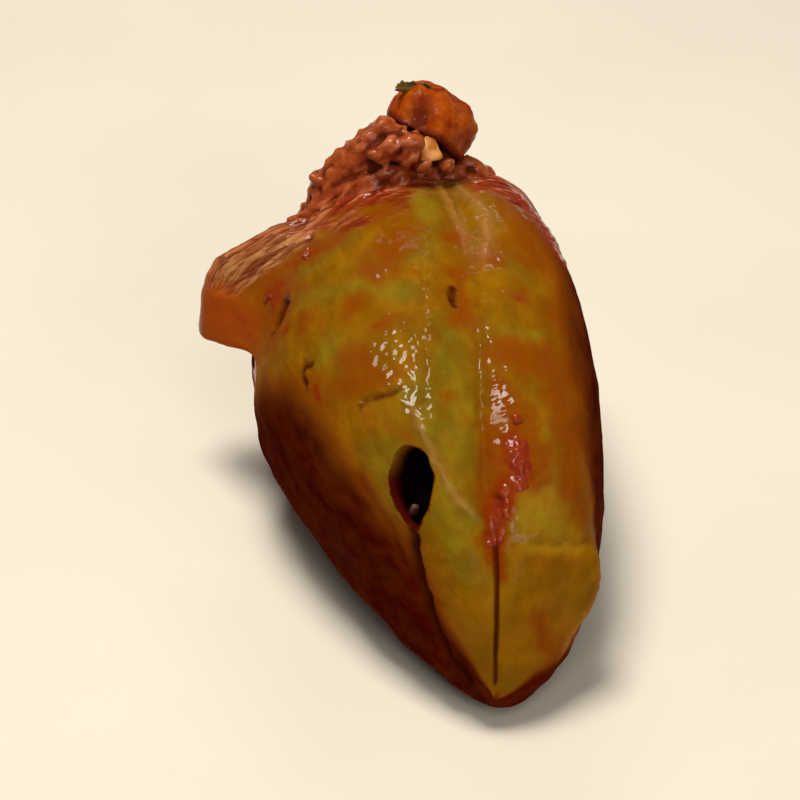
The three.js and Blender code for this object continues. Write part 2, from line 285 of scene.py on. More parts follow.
def away_from(points, path, steps=10):
    """Millimetres from each point to a line through places on the skin, and the share of the
    way along the line that is nearest."""
    places = np.array(path, float)
    t = np.linspace(0, len(places) - 1, steps * (len(places) - 1) + 1)
    s = np.interp(t, np.arange(len(places)), places[:, 0])
    angle = np.interp(t, np.arange(len(places)), places[:, 1])
    line = surface(s, angle)
    nearest = np.full(points.shape[:-1], 1e9)
    share = np.zeros(points.shape[:-1])
    for k in range(len(line) - 1):
        step = line[k + 1] - line[k]
        along = np.clip((points - line[k]) @ step / max(step @ step, 1e-12), 0, 1)
        away = np.linalg.norm(points - line[k] - along[..., None] * step, axis=-1)
        closer = away < nearest
        nearest = np.where(closer, away, nearest)
        share = np.where(closer, (k + along) / (len(line) - 1), share)
    return nearest, share


def stroke(points, path, width, taper=0.15, power=2):
    """1 along a line on the skin, fading over `width` millimetres and towards its ends, which
    are round where `taper` is 0."""
    near = np.linalg.norm(points - surface(*np.mean(path, 0)), axis=-1)
    reach = 1.5 * np.linalg.norm(surface(*path[0]) - surface(*path[-1])) + 4 * width + 3
    close = near < reach
    made = np.zeros(points.shape[:-1])
    away, share = away_from(points[close], path)
    ends = smooth(share, -0.01, taper) * (1 - smooth(share, 1 - taper, 1.01)) if taper else 1
    made[close] = np.exp(-((away / width) ** power)) * ends
    return made


def patch(points, place, radius, power=2):
    """1 at a place on the skin, fading over `radius` millimetres."""
    away = np.linalg.norm(points - surface(*place), axis=-1)
    return np.exp(-((away / radius) ** power))


def strongest(masks):
    return np.max(list(masks), 0)


def wobble(points, reach=0.45, size=2.4, seed=11):
    """The points moved a little every way, so that what is drawn over them has uneven edges."""
    moved = np.stack([layered(points, size, seed + 7 * axis, 2) for axis in range(3)], -1)
    return points + reach * moved


# ------------------------------------------------------------------ meshes


def to_row(points):
    return (np.asarray(points, float) + SHIFT) * MM


def grid_faces(rows, columns, first=0):
    """Quads between rings of points, each anticlockwise as seen from the first ring's pole."""
    i, j = np.meshgrid(np.arange(rows - 1), np.arange(columns), indexing="ij")
    nxt = (j + 1) % columns
    quads = np.stack([i * columns + j, (i + 1) * columns + j, (i + 1) * columns + nxt], -1)
    quads = np.concatenate([quads, (i * columns + nxt)[..., None]], -1)
    return quads.reshape(-1, 4) + first


def ring_shell(first_pole, rings, last_pole):
    """A closed shell from rings of points between two poles, as vertices and faces."""
    rows, columns = rings.shape[:2]
    vertices = np.concatenate([[first_pole], rings.reshape(-1, 3), [last_pole]])
    j = np.arange(columns)
    nxt = (j + 1) % columns
    end = 1 + (rows - 1) * columns
    start_fan = np.stack([np.zeros_like(j), 1 + j, 1 + nxt], -1)
    end_fan = np.stack([np.full_like(j, len(vertices) - 1), end + nxt, end + j], -1)
    faces = grid_faces(rows, columns, 1).tolist()
    return vertices, faces + start_fan.tolist() + end_fan.tolist()


def sheet_faces(rows, columns):
    """Quads between the rows of a plain grid."""
    i, j = np.meshgrid(np.arange(rows - 1), np.arange(columns - 1), indexing="ij")
    a = (i * columns + j).ravel()
    return np.stack([a, a + columns, a + columns + 1, a + 1], -1)


def closed_shell(top, under, quads):
    """The faces of the grid on top, the same of the one under it, and a side round them."""
    vertices = np.concatenate([top.reshape(-1, 3), under.reshape(-1, 3)])
    count = len(vertices) // 2
    edges = np.concatenate([quads[:, [k, (k + 1) % 4]] for k in range(4)])
    keys, turned = edges[:, 0] * count + edges[:, 1], edges[:, 1] * count + edges[:, 0]
    border = edges[~np.isin(keys, turned)]
    sides = np.stack([border[:, 1], border[:, 0], border[:, 0] + count, border[:, 1] + count], -1)
    return vertices, np.concatenate([quads, quads[:, ::-1] + count, sides])


def sheet_shell(top, under):
    """A closed shell between two plain grids."""
    vertices, faces = closed_shell(top, under, sheet_faces(*top.shape[:2]))
    return vertices, faces.tolist()


def new_mesh(name, vertices, faces, in_row=False):
    mesh = bpy.data.meshes.new(name)
    points = vertices if in_row else to_row(vertices)
    mesh.from_pydata(points.tolist(), [], faces)
    mesh.update()
    return mesh


def new_object(name, mesh, material=None):
    piece = bpy.data.objects.new(name, mesh)
    bpy.context.scene.collection.objects.link(piece)
    dress(mesh, material)
    return piece


def dress(mesh, material=None):
    """Gives a mesh its one material, and smooth shading."""
    if material:
        mesh.materials.clear()
        mesh.materials.append(material)
    mesh.shade_smooth()


def apply_modifiers(piece):
    """Turns a piece with its modifiers into a plain mesh."""
    graph = bpy.context.evaluated_depsgraph_get()
    made = bpy.data.meshes.new_from_object(piece.evaluated_get(graph))
    piece.modifiers.clear()
    old = piece.data
    piece.data = made
    bpy.data.meshes.remove(old)
    return piece


def points_of(mesh):
    """A mesh's vertices in the pepper's frame, in millimetres."""
    flat = np.empty(3 * len(mesh.vertices), np.float32)
    mesh.vertices.foreach_get("co", flat)
    return flat.reshape(-1, 3).astype(float) / MM - SHIFT


def set_points(mesh, points):
    mesh.vertices.foreach_set("co", to_row(points).astype(np.float32).ravel())
    mesh.update()


def normals_of(mesh):
    flat = np.empty(3 * len(mesh.vertices), np.float32)
    mesh.vertex_normals.foreach_get("vector", flat)
    return flat.reshape(-1, 3).astype(float)


def set_mask(mesh, name, values):
    attribute = mesh.attributes.new(name, "FLOAT", "POINT")
    attribute.data.foreach_set("value", np.asarray(values, np.float32))


def outward(mesh):
    """Turns every face of a closed mesh outwards."""
    made = bmesh.new()
    made.from_mesh(mesh)
    bmesh.ops.recalc_face_normals(made, faces=made.faces)
    made.to_mesh(mesh)
    made.free()


def rotation(degrees):
    """A matrix that turns points by degrees round X, Y and Z."""
    return np.array(Euler([math.radians(x) for x in degrees]).to_matrix())


def normalised(vectors):
    return vectors / np.maximum(np.linalg.norm(vectors, axis=-1, keepdims=True), 1e-9)


def grid_normals(points):
    """Outward normals of a grid whose columns wrap round."""
    across = np.roll(points, -1, 1) - np.roll(points, 1, 1)
    return normalised(np.cross(np.gradient(points, axis=0), across))


def sheet_normals(points):
    """Normals of a plain grid."""
    return normalised(np.cross(np.gradient(points, axis=0), np.gradient(points, axis=1)))


def hollowness(mesh, rounds=3):
    """How deep each vertex lies among its neighbours, from -1 on a bump to 1 in a pit."""
    edges = np.empty(2 * len(mesh.edges), np.int32)
    mesh.edges.foreach_get("vertices", edges)
    a, b = edges.reshape(-1, 2).T
    points, normals = points_of(mesh), normals_of(mesh)
    count = np.maximum(np.bincount(np.concatenate([a, b]), minlength=len(points)), 1)

    def mean(values):
        total = np.bincount(a, values[b], len(points)) + np.bincount(b, values[a], len(points))
        return total / count

    centre = points
    for _ in range(rounds):
        centre = np.stack([mean(centre[:, axis]) for axis in range(3)], -1)
    depth = ((centre - points) * normals).sum(-1)
    for _ in range(2):
        depth = 0.5 * depth + 0.5 * mean(depth)
    return np.clip(depth / (3 * depth.std() + 1e-9), -1, 1)


# ------------------------------------------------------------------ skin

# The skin's rows and columns crowd where it shows most: (row, s) and (column, angle).
ROW_STOPS = ((0, 0), (6, 0.35), (14, 1.4), (30, 6), (52, 12.5), (150, 42), (212, LENGTH))
COLUMN_STOPS = ((0, 0), (36, 45), (236, 165), (390, 360))
SKIN_ROWS, SKIN_COLUMNS = ROW_STOPS[-1][0], COLUMN_STOPS[-1][0]
INNER_ROWS = 14
CROWN_ROWS = 5  # rows over the cut edge of the rim
GIRTH_RADIUS = 18  # radius of a usual section, for patterns that run round it
CALM_BELOW = 2.5  # height over the ground under which the fine forms fade away

# Lines on the skin as places (s, angle), with their half width and their height in millimetres.
Line = namedtuple("Line", "path width height")
RIBS = (
    Line(((25, 114.5), (18.7, 114.8), (14.7, 113.8), (11.2, 111), (8.9, 101.5)), 0.6, 0.45),
    Line(((27, 116), (22.5, 119), (19.3, 124)), 0.8, 0.3),
    Line(((68, 70), (62, 64), (56.5, 61.5), (50.5, 64), (44, 70)), 0.55, 0.5),
    Line(((68, 76), (63, 72.5), (55, 70.5), (44.5, 70.8)), 0.55, 0.45),
    Line(((56, 81), (46.8, 88), (37.6, 94), (27.8, 102.5), (21.8, 109), (16.5, 113)), 0.8, 0.5),
    Line(((10, 147), (7.2, 160), (4.4, 182), (2.6, 200)), 0.5, 0.3),
    Line(((8.6, 18), (7.2, 4), (5.0, -8), (3.2, -30)), 0.5, 0.4),
    Line(((43.7, 69), (32.5, 76), (23.5, 82), (16.4, 88)), 0.8, 0.2),
    Line(((66, 60), (58, 57), (48, 54)), 1.4, 0.3),
    Line(((59.5, 118), (58, 132), (60, 146), (61.5, 153)), 0.7, 0.35),
)
GROOVES = (
    Line(((12, 139), (11.2, 147), (9.2, 159), (6.3, 176), (3.5, 199), (1.6, 216)), 0.85, 1.4),
    Line(((8.6, 94.8), (6.3, 97), (3.8, 99.3), (1.6, 102.5), (0.1, 108)), 0.3, 0.4),
    Line(((11.6, 89.5), (9.6, 92.5), (7.4, 95.6)), 1.2, 0.6),
    Line(((40.3, 83.0), (38.8, 84.2), (37.3, 85.2)), 0.6, 0.8),
    Line(((37.4, 142), (38.6, 145.0), (37.8, 148.0), (35.4, 148)), 0.6, 0.5),
    Line(((26.6, 132), (26.6, 128), (25.8, 123), (25.6, 117)), 0.75, 0.45),
    Line(((66, 69), (58, 69), (50, 72), (43.7, 72)), 0.8, 0.4),
    Line(((50.6, 153), (52.3, 148), (53.6, 143)), 1.1, 0.9),
    Line(((58.5, 108), (59.5, 116), (60.5, 124)), 0.6, 0.4),
    Line(((34, 205), (26, 200), (18, 192)), 1.2, 0.4),
    Line(((40, 168), (30, 166), (20, 160), (13, 152)), 1.3, 0.35),
    Line(((22, 150), (15, 152), (9, 166)), 0.8, 0.3),
    Line(((6.3, 88), (6.3, 72), (7.0, 54), (8.1, 40), (9.8, 26)), 0.4, 0.35),
    Line(((2.6, 84), (2.9, 66), (3.4, 50)), 0.4, 0.12),
    Line(((43.7, 72), (32.5, 79.5), (23.5, 86), (16.4, 92), (11.7, 95)), 0.6, 0.4),
    Line(((37.9, 86), (27.6, 94), (19.4, 101), (12.8, 106)), 1.8, 0.3),
)
SPLIT, SEAM = GROOVES[:2]  # the split below the hole, and the straight line down to the tip
BARE_BAND = {"from": 106, "full": 130, "end": 162, "width": 8.5, "deep": 0.45, "step": 0.3}
# The step from the knob to the flat above it: degrees and s along it, height, and how far down
# the knob it fades.
LEDGE = {"path": ((27, 8.8), (40, 7.2), (54, 6.2), (72, 5.6), (90, 5.6)), "height": 0.25, "fade": 4}
LIP = {"height": 0.22, "more_on_right": 0.2, "width": 0.9, "reach": 9}  # round the hole
CRINKLES = (  # place, radius, direction across the wrinkles in degrees, size and height in mm
    ((28, 111.5), 6.0, 45, 0.5, 0.15),
    ((22, 112), 3.5, 60, 0.5, 0.12),
    ((31, 119), 5.5, 45, 0.6, 0.14),
    ((36, 103), 4.0, 20, 0.6, 0.13),
    ((25, 79), 5.0, 0, 0.55, 0.17),
    ((33, 78), 3.5, 0, 0.55, 0.14),
    ((17, 79), 3.0, 0, 0.55, 0.14),
    ((26, 128), 5.0, 30, 0.8, 0.10),
    ((20, 60), 6.0, 10, 0.9, 0.10),
    ((20, 78), 3.5, 0, 0.5, 0.16),
    ((9, 66), 3.4, 10, 0.8, 0.16),
    ((46, 106), 6.0, 60, 0.9, 0.12),
    ((44, 62), 6.0, 20, 0.8, 0.10),
    ((13, 74), 3.0, 20, 0.7, 0.14),
    ((11, 60), 4.0, 10, 0.7, 0.12),
    ((61, 47), 6.0, 20, 0.8, 0.16),
    ((60, 67), 4.0, 60, 0.6, 0.12),
    ((56, 36), 5.0, 20, 0.9, 0.14),
    ((57, 141), 5.0, 70, 0.7, 0.16),
    ((58, 118), 5.0, 70, 0.8, 0.14),
    ((52, 78), 5.0, 20, 0.8, 0.12),
)


def skin_grid():
    """The plain skin from the tip to the rim, with each point's s and angle."""
    angle = np.interp(np.arange(SKIN_COLUMNS), *zip(*COLUMN_STOPS))
    share = np.interp(np.arange(1, SKIN_ROWS + 1), *zip(*ROW_STOPS))[:, None] / LENGTH
    s = rim_at(angle)[None] * share
    angle = np.broadcast_to(angle, s.shape)
    return surface(s, angle), s, angle


def bare_share(s, angle, points):
    """Where the skin is torn back from the rim, from 0 to 1."""
    across = smooth(angle, BARE_BAND["from"], BARE_BAND["full"])
    across *= 1 - smooth(angle, BARE_BAND["end"] - 6, BARE_BAND["end"])
    ragged = 1.1 * bumps(points, 4.2, 31) + 1.6 * fibres(s, angle)
    start = rim_at(angle) - BARE_BAND["width"] * across + ragged
    return across * smooth(s, start - 0.4, start + 1.6)


def arc_of(angle):
    """Millimetres round the skin, from an angle."""
    return np.radians(angle) * GIRTH_RADIUS


def fibres(s, angle):
    """Torn fibres that run along the rim, from -1 to 1."""
    arc = arc_of(angle)
    flat = np.stack([s + 0.3 * arc, arc / 5, np.zeros_like(s)], -1)
    return np.clip(1.3 * bumps(flat, 1.1, 51) + 0.9 * bumps(flat, 0.5, 52), -1, 1)


def crinkles(points, s, angle):
    """Fine wrinkles of the soft skin, each patch running its own way."""
    made = np.zeros(s.shape)
    arc = arc_of(angle)
    for place, radius, direction, size, height in CRINKLES:
        turn = math.radians(direction)
        across = s * math.cos(turn) + arc * math.sin(turn)
        along = arc * math.cos(turn) - s * math.sin(turn)
        flat = np.stack([across, along / 2.6, np.zeros_like(s)], -1)
        seed = int(10 * place[1])
        fine = bumps(flat, size, seed) + 0.5 * bumps(flat, 0.55 * size, seed + 1)
        made += height * fine * patch(points, place, radius)
    return made


def paler_and_lit_over_ledge(s, angle):
    """The greener, lighter skin over the knob, which ends at the step; its lightness is partly
    painted light, for the light that this face catches.
    """
    line = np.interp(angle, *zip(*LEDGE["path"]))
    above = smooth(s - line, -0.1, 0.25) * (1 - smooth(s, 9, 15))
    return above * smooth(angle, 22, 40) * (1 - smooth(angle, 74, 88))


def ledge(s, angle):
    line = np.interp(angle, *zip(*LEDGE["path"]))
    below = smooth(line - s, -0.2, 0.2) * (1 - smooth(line - s, 0.8, LEDGE["fade"]))
    return LEDGE["height"] * below * smooth(angle, 14, 26) * (1 - smooth(angle, 84, 94))


def skin_height(points, s, angle):
    """How far the fine forms of the skin stand out of it, in millimetres."""
    uneven = wobble(points)
    broken = 0.75 + 0.5 * bumps(points, 0.8, 95)
    height = broken * sum(line.height * stroke(uneven, line.path, line.width) for line in RIBS)
    for line in GROOVES:
        drawn_on = points if line is SEAM else uneven
        height = height - line.height * stroke(drawn_on, line.path, line.width, 0.1)
    height += 0.32 * layered(points, 9, 1) + 0.09 * layered(points * (1, 0.45, 1), 2.4, 5)
    height += 0.03 * layered(points, 1.1, 9, 2)
    height += 0.3 * smooth(-points[..., 2], -24, -12) * bumps(points * (1, 0.35, 1), 3.2, 7)
    height += ledge(s, angle)
    streaked = rim_share(s, angle, points) * smooth(angle, 58, 70) * (1 - smooth(angle, 130, 150))
    height += 0.3 * streaked * fibres(s, angle)
    height += crinkles(points, s, angle)
    height += hole_lip(points)
    bare = bare_share(s, angle, points)
    depth = smooth(s, rim_at(angle) - BARE_BAND["width"], rim_at(angle))
    rough = 0.4 * fibres(s, angle) + 0.3 * bumps(points * (0.4, 1, 0.4), 2.0, 53)
    height -= bare * (BARE_BAND["step"] + BARE_BAND["deep"] * depth - rough)
    return height * smooth(s, 0, 0.8)


def hole_lip(points):
    """The skin rolls up a little round the hole, more on its right."""
    axes, centre = hole_frame()
    local = (points - centre) @ axes
    outline = teardrop(48)
    close = np.linalg.norm(local, axis=-1) < LIP["reach"]
    nearest = np.full(points.shape[:-1], LIP["reach"], float)
    gaps = np.linalg.norm(local[close][:, None, :2] - outline[None, :, :2], axis=-1)
    nearest[close] = gaps.min(1)
    height = LIP["height"] + LIP["more_on_right"] * smooth(-local[..., 1], -1, 2)
    return height * np.exp(-((nearest / LIP["width"]) ** 2))


def with_fine_forms(plain, s, angle):
    height = skin_height(plain, s, angle) * smooth(plain[..., 2], 0, CALM_BELOW)
    return plain + grid_normals(plain) * height[..., None]


def wall_shell():
    """The hollow wall with its fine forms, and the outer grid that masks are read from."""
    plain, s, angle = skin_grid()
    outer = with_fine_forms(plain, s, angle)
    outer[..., 2] = np.maximum(outer[..., 2], 0)

    start = WALL * TIP_WALL
    columns = angle[0]
    share = (np.arange(1, INNER_ROWS + 1) / INNER_ROWS)[:, None] ** 1.6
    inner_s = start + (rim_at(columns) - start) * share
    inner = surface(inner_s, np.broadcast_to(columns, inner_s.shape), WALL)
    inner = inner + 0.25 * layered(inner, 6, 61)[..., None] * grid_normals(inner)

    turn = np.linspace(0, math.pi, CROWN_ROWS + 2)[1:-1, None, None]
    middle, half = (outer[-1] + inner[-1]) / 2, (outer[-1] - inner[-1]) / 2
    crown = middle + half * np.cos(turn) + (0, 1, 0) * np.sin(turn) * 0.15 * WALL
    rough = 0.14 * bumps(crown, 1.4, 62) + 0.08 * bumps(crown, 0.7, 63)
    crown[..., 1] += rough
    rings = np.concatenate([outer, crown, inner[::-1]])
    return ring_shell(tip_of(0), rings, tip_of(WALL)), outer, plain, s, angle


def hole_outline():
    """The hole's uneven outline in its own plane."""
    outline = teardrop(90)
    return outline * (1 + 0.1 * bumps(outline, 1.7, 71)[:, None])


def cut_hole(piece):
    """Cuts the teardrop hole through the skin."""
    axes, centre = hole_frame()
    outline = hole_outline()
    depth = 3 * WALL
    low = (outline + (0, 0, -0.6 * depth)) @ axes.T + centre
    high = (outline * 1.06 + (0, 0, 0.4 * depth)) @ axes.T + centre
    count = len(outline)
    nxt = np.roll(np.arange(count), -1)
    sides = np.stack([np.arange(count), nxt, nxt + count, np.arange(count) + count], -1)
    faces = [list(range(count))[::-1], list(range(count, 2 * count))] + sides.tolist()
    cutter = new_object("hole_cutter", new_mesh("hole_cutter", np.concatenate([low, high]), faces))
    cut = piece.modifiers.new("hole", "BOOLEAN")
    cut.operation = "DIFFERENCE"
    cut.solver = "MANIFOLD"
    cut.object = cutter
    apply_modifiers(piece)
    bpy.data.objects.remove(cutter)


# Where the skin takes a colour: lines and spots as places, with their reach in millimetres.
GREEN_LINES = (
    (((34, 89), (27.6, 94), (19.4, 100), (12.8, 105)), 2.4),
    (((64, 82), (58, 82), (52, 86), (47, 90)), 2.2),
    (((24, 112), (18, 109), (12, 112), (6, 120)), 3.0),
    (((46, 122), (44, 112), (40, 100)), 2.2),
    (((46.7, 126), (48.9, 136), (49, 144)), 1.8),
    (((56, 112), (55, 124), (56, 134)), 1.6),
    (((32.4, 72), (31.8, 59), (33.8, 46)), 1.5),
    (((8.4, 78), (8.8, 60), (10, 44)), 2.0),
    (((22, 143), (18, 142), (14, 140)), 2.0),
)
GREEN_SPOTS = (
    ((18, 57), 2.6), ((12.5, 56), 3.0), ((44, 58), 2.4), ((20, 135), 3.4), ((37, 136), 2.6),
)
STAIN_LINES = (
    (((54, 93), (49.9, 99), (46, 107)), 3.0),
    (((68, 84), (64, 96), (63, 108)), 3.4),
    (((44, 78), (38.5, 81), (34, 84)), 1.7),
    (((64, 46), (56, 47), (48, 50)), 4.4),
    (((28.4, 72), (27.5, 59), (28.4, 45)), 3.4),
    (((23, 80), (19, 76), (16, 71.5), (13.5, 69)), 2.6),
    (((19, 85), (14.8, 91), (11, 91.6), (7.6, 93)), 2.0),
    (((64, 146), (56, 146), (50, 152)), 5.0),
    (((66, 160), (60, 160), (54, 158)), 4.0),
    (((33, 126), (29, 123), (30, 136)), 2.4),
    (((60, 96), (59, 108), (58, 120), (59, 134)), 3.0),
    (((2.0, 60), (2.0, 20), (3.0, -10)), 1.6),
    (((24, 52), (14, 50), (11, 40)), 3.0),
)
STAIN_SPOTS = (
    ((33.3, 145.8), 2.2), ((38.3, 61.5), 2.2), ((46, 66), 2.4), ((52, 74), 2.0),
    ((41, 118), 2.6), ((36, 112), 1.8), ((22, 100), 1.3), ((45, 138), 2.6), ((50, 97), 2.8),
    ((52, 94), 2.0), ((37, 48), 3.0),
)
SAUCE_LINES = (
    (((17, 79), (14.5, 77), (12, 83), (9.6, 91), (7.4, 95)), 1.8),
    (((11.4, 86), (9.4, 91.6), (7.2, 96.2), (5.6, 97.2)), 1.6),
    (((57.8, 127), (58.6, 131)), 0.9),
    (((57.5, 135), (58.4, 140)), 0.8),
    (((57.5, 146), (55, 149)), 1.1),
    (((66, 46), (61, 40), (54, 36)), 3.2),
)
SAUCE_SPOTS = (((33.1, 145.4), 1.0), ((38.2, 61.8), 0.9), ((13.3, 77), 2.6), ((47.5, 148), 1.2))
FILM_SPOTS = (  # where a wet film breaks up into sparkling specks
    ((28, 111.5), 4.6), ((23.5, 113), 3.4), ((33, 110), 3.6), ((27, 79), 2.4), ((22, 78), 2.8),
    ((30, 76), 2.6), ((17, 80), 2.2), ((33, 78), 2.4), ((13.5, 76), 3.0), ((11.5, 66), 3.0),
    ((8, 80), 2.4), ((47, 106), 3.0), ((39, 100), 2.4), ((46, 63), 2.0), ((38.2, 61.8), 1.8),
    ((34, 127), 2.6), ((57, 142), 3.5), ((60, 118), 3.5), ((64, 84), 4.0), ((62, 50), 5.0),
    ((60, 68), 3.5),
)
# The crest of the ridge, which stays dry: its line, half width, taper and how sharp its edge is.
DRY_BAND = (((46, 81), (37.9, 86.5), (27.6, 94.5), (19.4, 101), (12.8, 106)), 2.1, 0, 4)
# The dark grooves are real marks and sauce in part, and painted shade in the split's gap and in the
# pits.
SCARS = (  # lines of GROOVES that are dark, half width and how dark
    (0, 1.0, 0.95), (1, 0.4, 0.8), (2, 0.9, 0.35), (3, 0.7, 1.0), (4, 0.6, 0.8),
    (5, 0.75, 0.75), (7, 1.2, 0.85), (14, 0.7, 0.3),
)
# The strip's outer face is painted brighter than its own orange, as painted light on a face that
# lies in shade.
FLAP_FACE = ((61, 166), 9, 4)  # the strip's outer face: place, radius and how sharp its edge is
# Pale lines along the crests of some ribs: pale flesh in part, and partly a painted highlight.
PALE_RIBS = (  # lines of RIBS, how pale and how wide
    (0, 0.65, 0.5), (2, 0.8, 0.9), (3, 0.5, 0.8), (6, 0.7, 0.5),
)
RIM_REACH = (  # degrees round the section, and millimetres of the skin that is sauced there
    (0, 2), (30, 6.5), (48, 8.5), (58, 6), (66, 3.4), (74, 3.6), (84, 6), (93, 8.5), (106, 9),
    (118, 7.5), (130, 5.5), (146, 2.5), (158, 1), (175, 4), (200, 4), (360, 2),
)
# Where the skin is painted darker low on the sides: sauce stain in part, and painted shade on the
# flanks.
SOAK_AND_SHADE = {"left": (130, 174), "right": (18, 68), "knob": 62}  # degrees that darken, fade to full


def soaked_and_shaded(s, angle, points):
    """How dark the skin is painted low on the sides, from 0 on top to 1 there: partly sauce stain,
    and partly painted shade on the flanks, near the ground and beside the split.
    """
    ragged = layered(points * (1, 0.5, 1), 8, 85, 2)
    strip = 46 * smooth(s + 5 * ragged, 36, 60) + 14 * (1 - smooth(s, 3, 8))
    left = smooth(angle + 6 * ragged, SOAK_AND_SHADE["left"][0] + strip, SOAK_AND_SHADE["left"][1] + strip)
    left = np.maximum(left, smooth(angle, 175, 184) * smooth(s + 5 * ragged, 34, 54))
    turned = (angle + 90) % 360 - 90 + 6 * ragged
    drop = SOAK_AND_SHADE["knob"] * (1 - smooth(s, 6, 20))
    right = 1 - smooth(turned, SOAK_AND_SHADE["right"][0] - drop, SOAK_AND_SHADE["right"][1] - drop)
    # Darker near the ground: sauce at the bottom, and painted shade.
    low = 0.7 * (1 - smooth(points[..., 2], 0.5, 5))
    path = np.array(SPLIT.path)[::-1]
    edge = np.interp(s, path[:, 0], path[:, 1])
    # Painted shade on the flank beside the split, near the tip.
    split = 0.62 * smooth(angle, edge, edge + 6) * (1 - smooth(s, 9, 16))
    split *= angle < 270
    return strongest([np.where(turned < 90, right, left), low, split])


def skin_masks(points, s, angle):
    """The masks that colour the skin, from its plain points."""
    uneven = wobble(points, 1.1, 3.6, 23)
    patchy = layered(points * (1, 0.5, 1), 6, 81)
    mottled = 0.2 * patchy + 0.2 * layered(points * (1, 0.6, 1), 1.9, 83, 2)

    def painted(lines, spots, softness=0.45):
        drawn = [stroke(uneven, path, width, 0) for path, width in lines]
        drawn += [patch(uneven, place, radius) for place, radius in spots]
        return smooth(strongest(drawn) + mottled, 0.45 - softness, 0.5 + softness)

    near = wobble(points, 0.25)
    broken = 0.8 + 0.5 * bumps(points, 1.1, 96)
    scars = []
    for number, width, dark in SCARS:
        line = GROOVES[number]
        drawn_on = points if line is SEAM else near
        drawn = dark * stroke(drawn_on, line.path, width, 0)
        scars.append(drawn * (1 if line in (SEAM, SPLIT) else broken))
    film = strongest(patch(uneven, place, radius) for place, radius in FILM_SPOTS)
    return {
        "green": painted(GREEN_LINES, GREEN_SPOTS),
        "stain": painted(STAIN_LINES, STAIN_SPOTS, 0.6),
        "sauce": painted(SAUCE_LINES, SAUCE_SPOTS, 0.35),
        # Dark marks, with painted shade in the split's gap and in the pits.
        "scar": smooth(strongest(scars), 0.1, 0.85),
        # deep: darker low on the sides, partly sauce stain and partly painted shade.
        "deep": np.clip(soaked_and_shaded(s, angle, points) + 0.12 * patchy, 0, 1),
        "bare": bare_share(s, angle, points),
        "fibre": 0.5 + 0.5 * fibres(s, angle),
        "tan": strongest(
            share * stroke(near, RIBS[k].path, width) for k, share, width in PALE_RIBS
        ) * np.clip(broken, 0.35, 1),
        "face": patch(points, *FLAP_FACE) * smooth(angle, 150, 160) * (1 - smooth(angle, 178, 181)),
        "film": np.clip(film + 0.15 * patchy, 0, 1) * (1 - stroke(points, *DRY_BAND)),
        "rim": rim_share(s, angle, points),
        "step": paler_and_lit_over_ledge(s, angle) * np.clip(0.8 + 0.5 * patchy, 0, 1),
    }


def rim_share(s, angle, points):
    """Where the sauce from the heap has run over the skin below the rim."""
    reach = np.interp(angle, *zip(*RIM_REACH)) * (1 + 0.45 * layered(points, 5, 87, 2))
    start = rim_at(angle) - reach
    return smooth(s + 0.8 * bumps(points, 1.7, 88), start - 1.6, start + 2.4)


def in_hole(points, grow=0.15, under=4.0):
    """1 within the hole's outline, down to `under` millimetres below the skin."""
    axes, centre = hole_frame()
    x, y, z = np.moveaxis((points - centre) @ axes, -1, 0)
    outline = hole_outline()
    turn = np.arctan2(outline[:, 1], outline[:, 0])
    far = np.hypot(*outline[np.argsort(turn), :2].T)
    reach = np.interp(np.arctan2(y, x), np.sort(turn), far, period=2 * math.pi)
    return smooth(1.04 * reach + grow - np.hypot(x, y), -0.05, 0.1) * (z < 1.5) * (z > -under)


def read_masks(mesh, grid_points, masks):
    """Gives every vertex the masks of the nearest place on the skin, and its own depth."""
    flat = to_row(grid_points.reshape(-1, 3))
    tree = kdtree.KDTree(len(flat))
    for k, co in enumerate(flat.tolist()):
        tree.insert(co, k)
    tree.balance()
    found = [tree.find(vertex.co) for vertex in mesh.vertices]
    nearest = np.array([index for _, index, _ in found])
    depth = np.array([away for _, _, away in found]) / MM
    for name, values in masks.items():
        set_mask(mesh, name, values.reshape(-1)[nearest])
    set_mask(mesh, "inner", smooth(depth, 0.35, 1.2))
    # The hole's cut walls take a dark colour that is partly painted shade; towards the hole's upper
    # end less of it is painted, as painted light on that shaded wall.
    axes, centre = hole_frame()
    points = points_of(mesh)
    upper = smooth(-((points - centre) @ axes)[:, 0], 1, 4)
    set_mask(mesh, "hole", in_hole(points) * (1 - 0.45 * upper))


# ------------------------------------------------------------------ filling

CORE_COLUMNS = 220
PACKED_ROWS = 70
HEAP_ROWS = 60
HEAP_SHEET = (40, 160)  # rows and columns of the heap's surface alone
VOXEL = 0.42  # the mince's parts are melted together on a grid of this size
LUMP_FACES = 2  # subdivisions of the ball that a lump starts from
LUMP_SHAPES = ((1, 0.85, 0.75), (1.15, 0.8, 0.7), (0.85, 0.8, 0.8), (1.3, 0.7, 0.65))
LUMP_SMALLEST = 0.45  # share of the usual radius
LUMP_LARGEST = {"heap_lumps": 1.45, "spill_lumps": 0.8}
LUMP_ROUGHNESS, CLUMP_ROUGHNESS, GRAIN_ROUGHNESS = 0.35, 0.4, 0.12
CLUMP_SHAPE = (1.1, 0.85, 0.85)
LUMP_DENSITY, GRAIN_DENSITY = 900000.0, 200000.0  # to a square metre, before spacing thins them
GRAIN_SIZES = (0.5, 1.15)  # smallest and largest, as shares of a grain's shape
GRAIN_LIFT = 0.15
SHOWN_FROM = (50, 60)  # the filling is rough from here on, where it shows
SHREDS_UNTIL = (67, 72)  # and has shreds up to here, along the rim


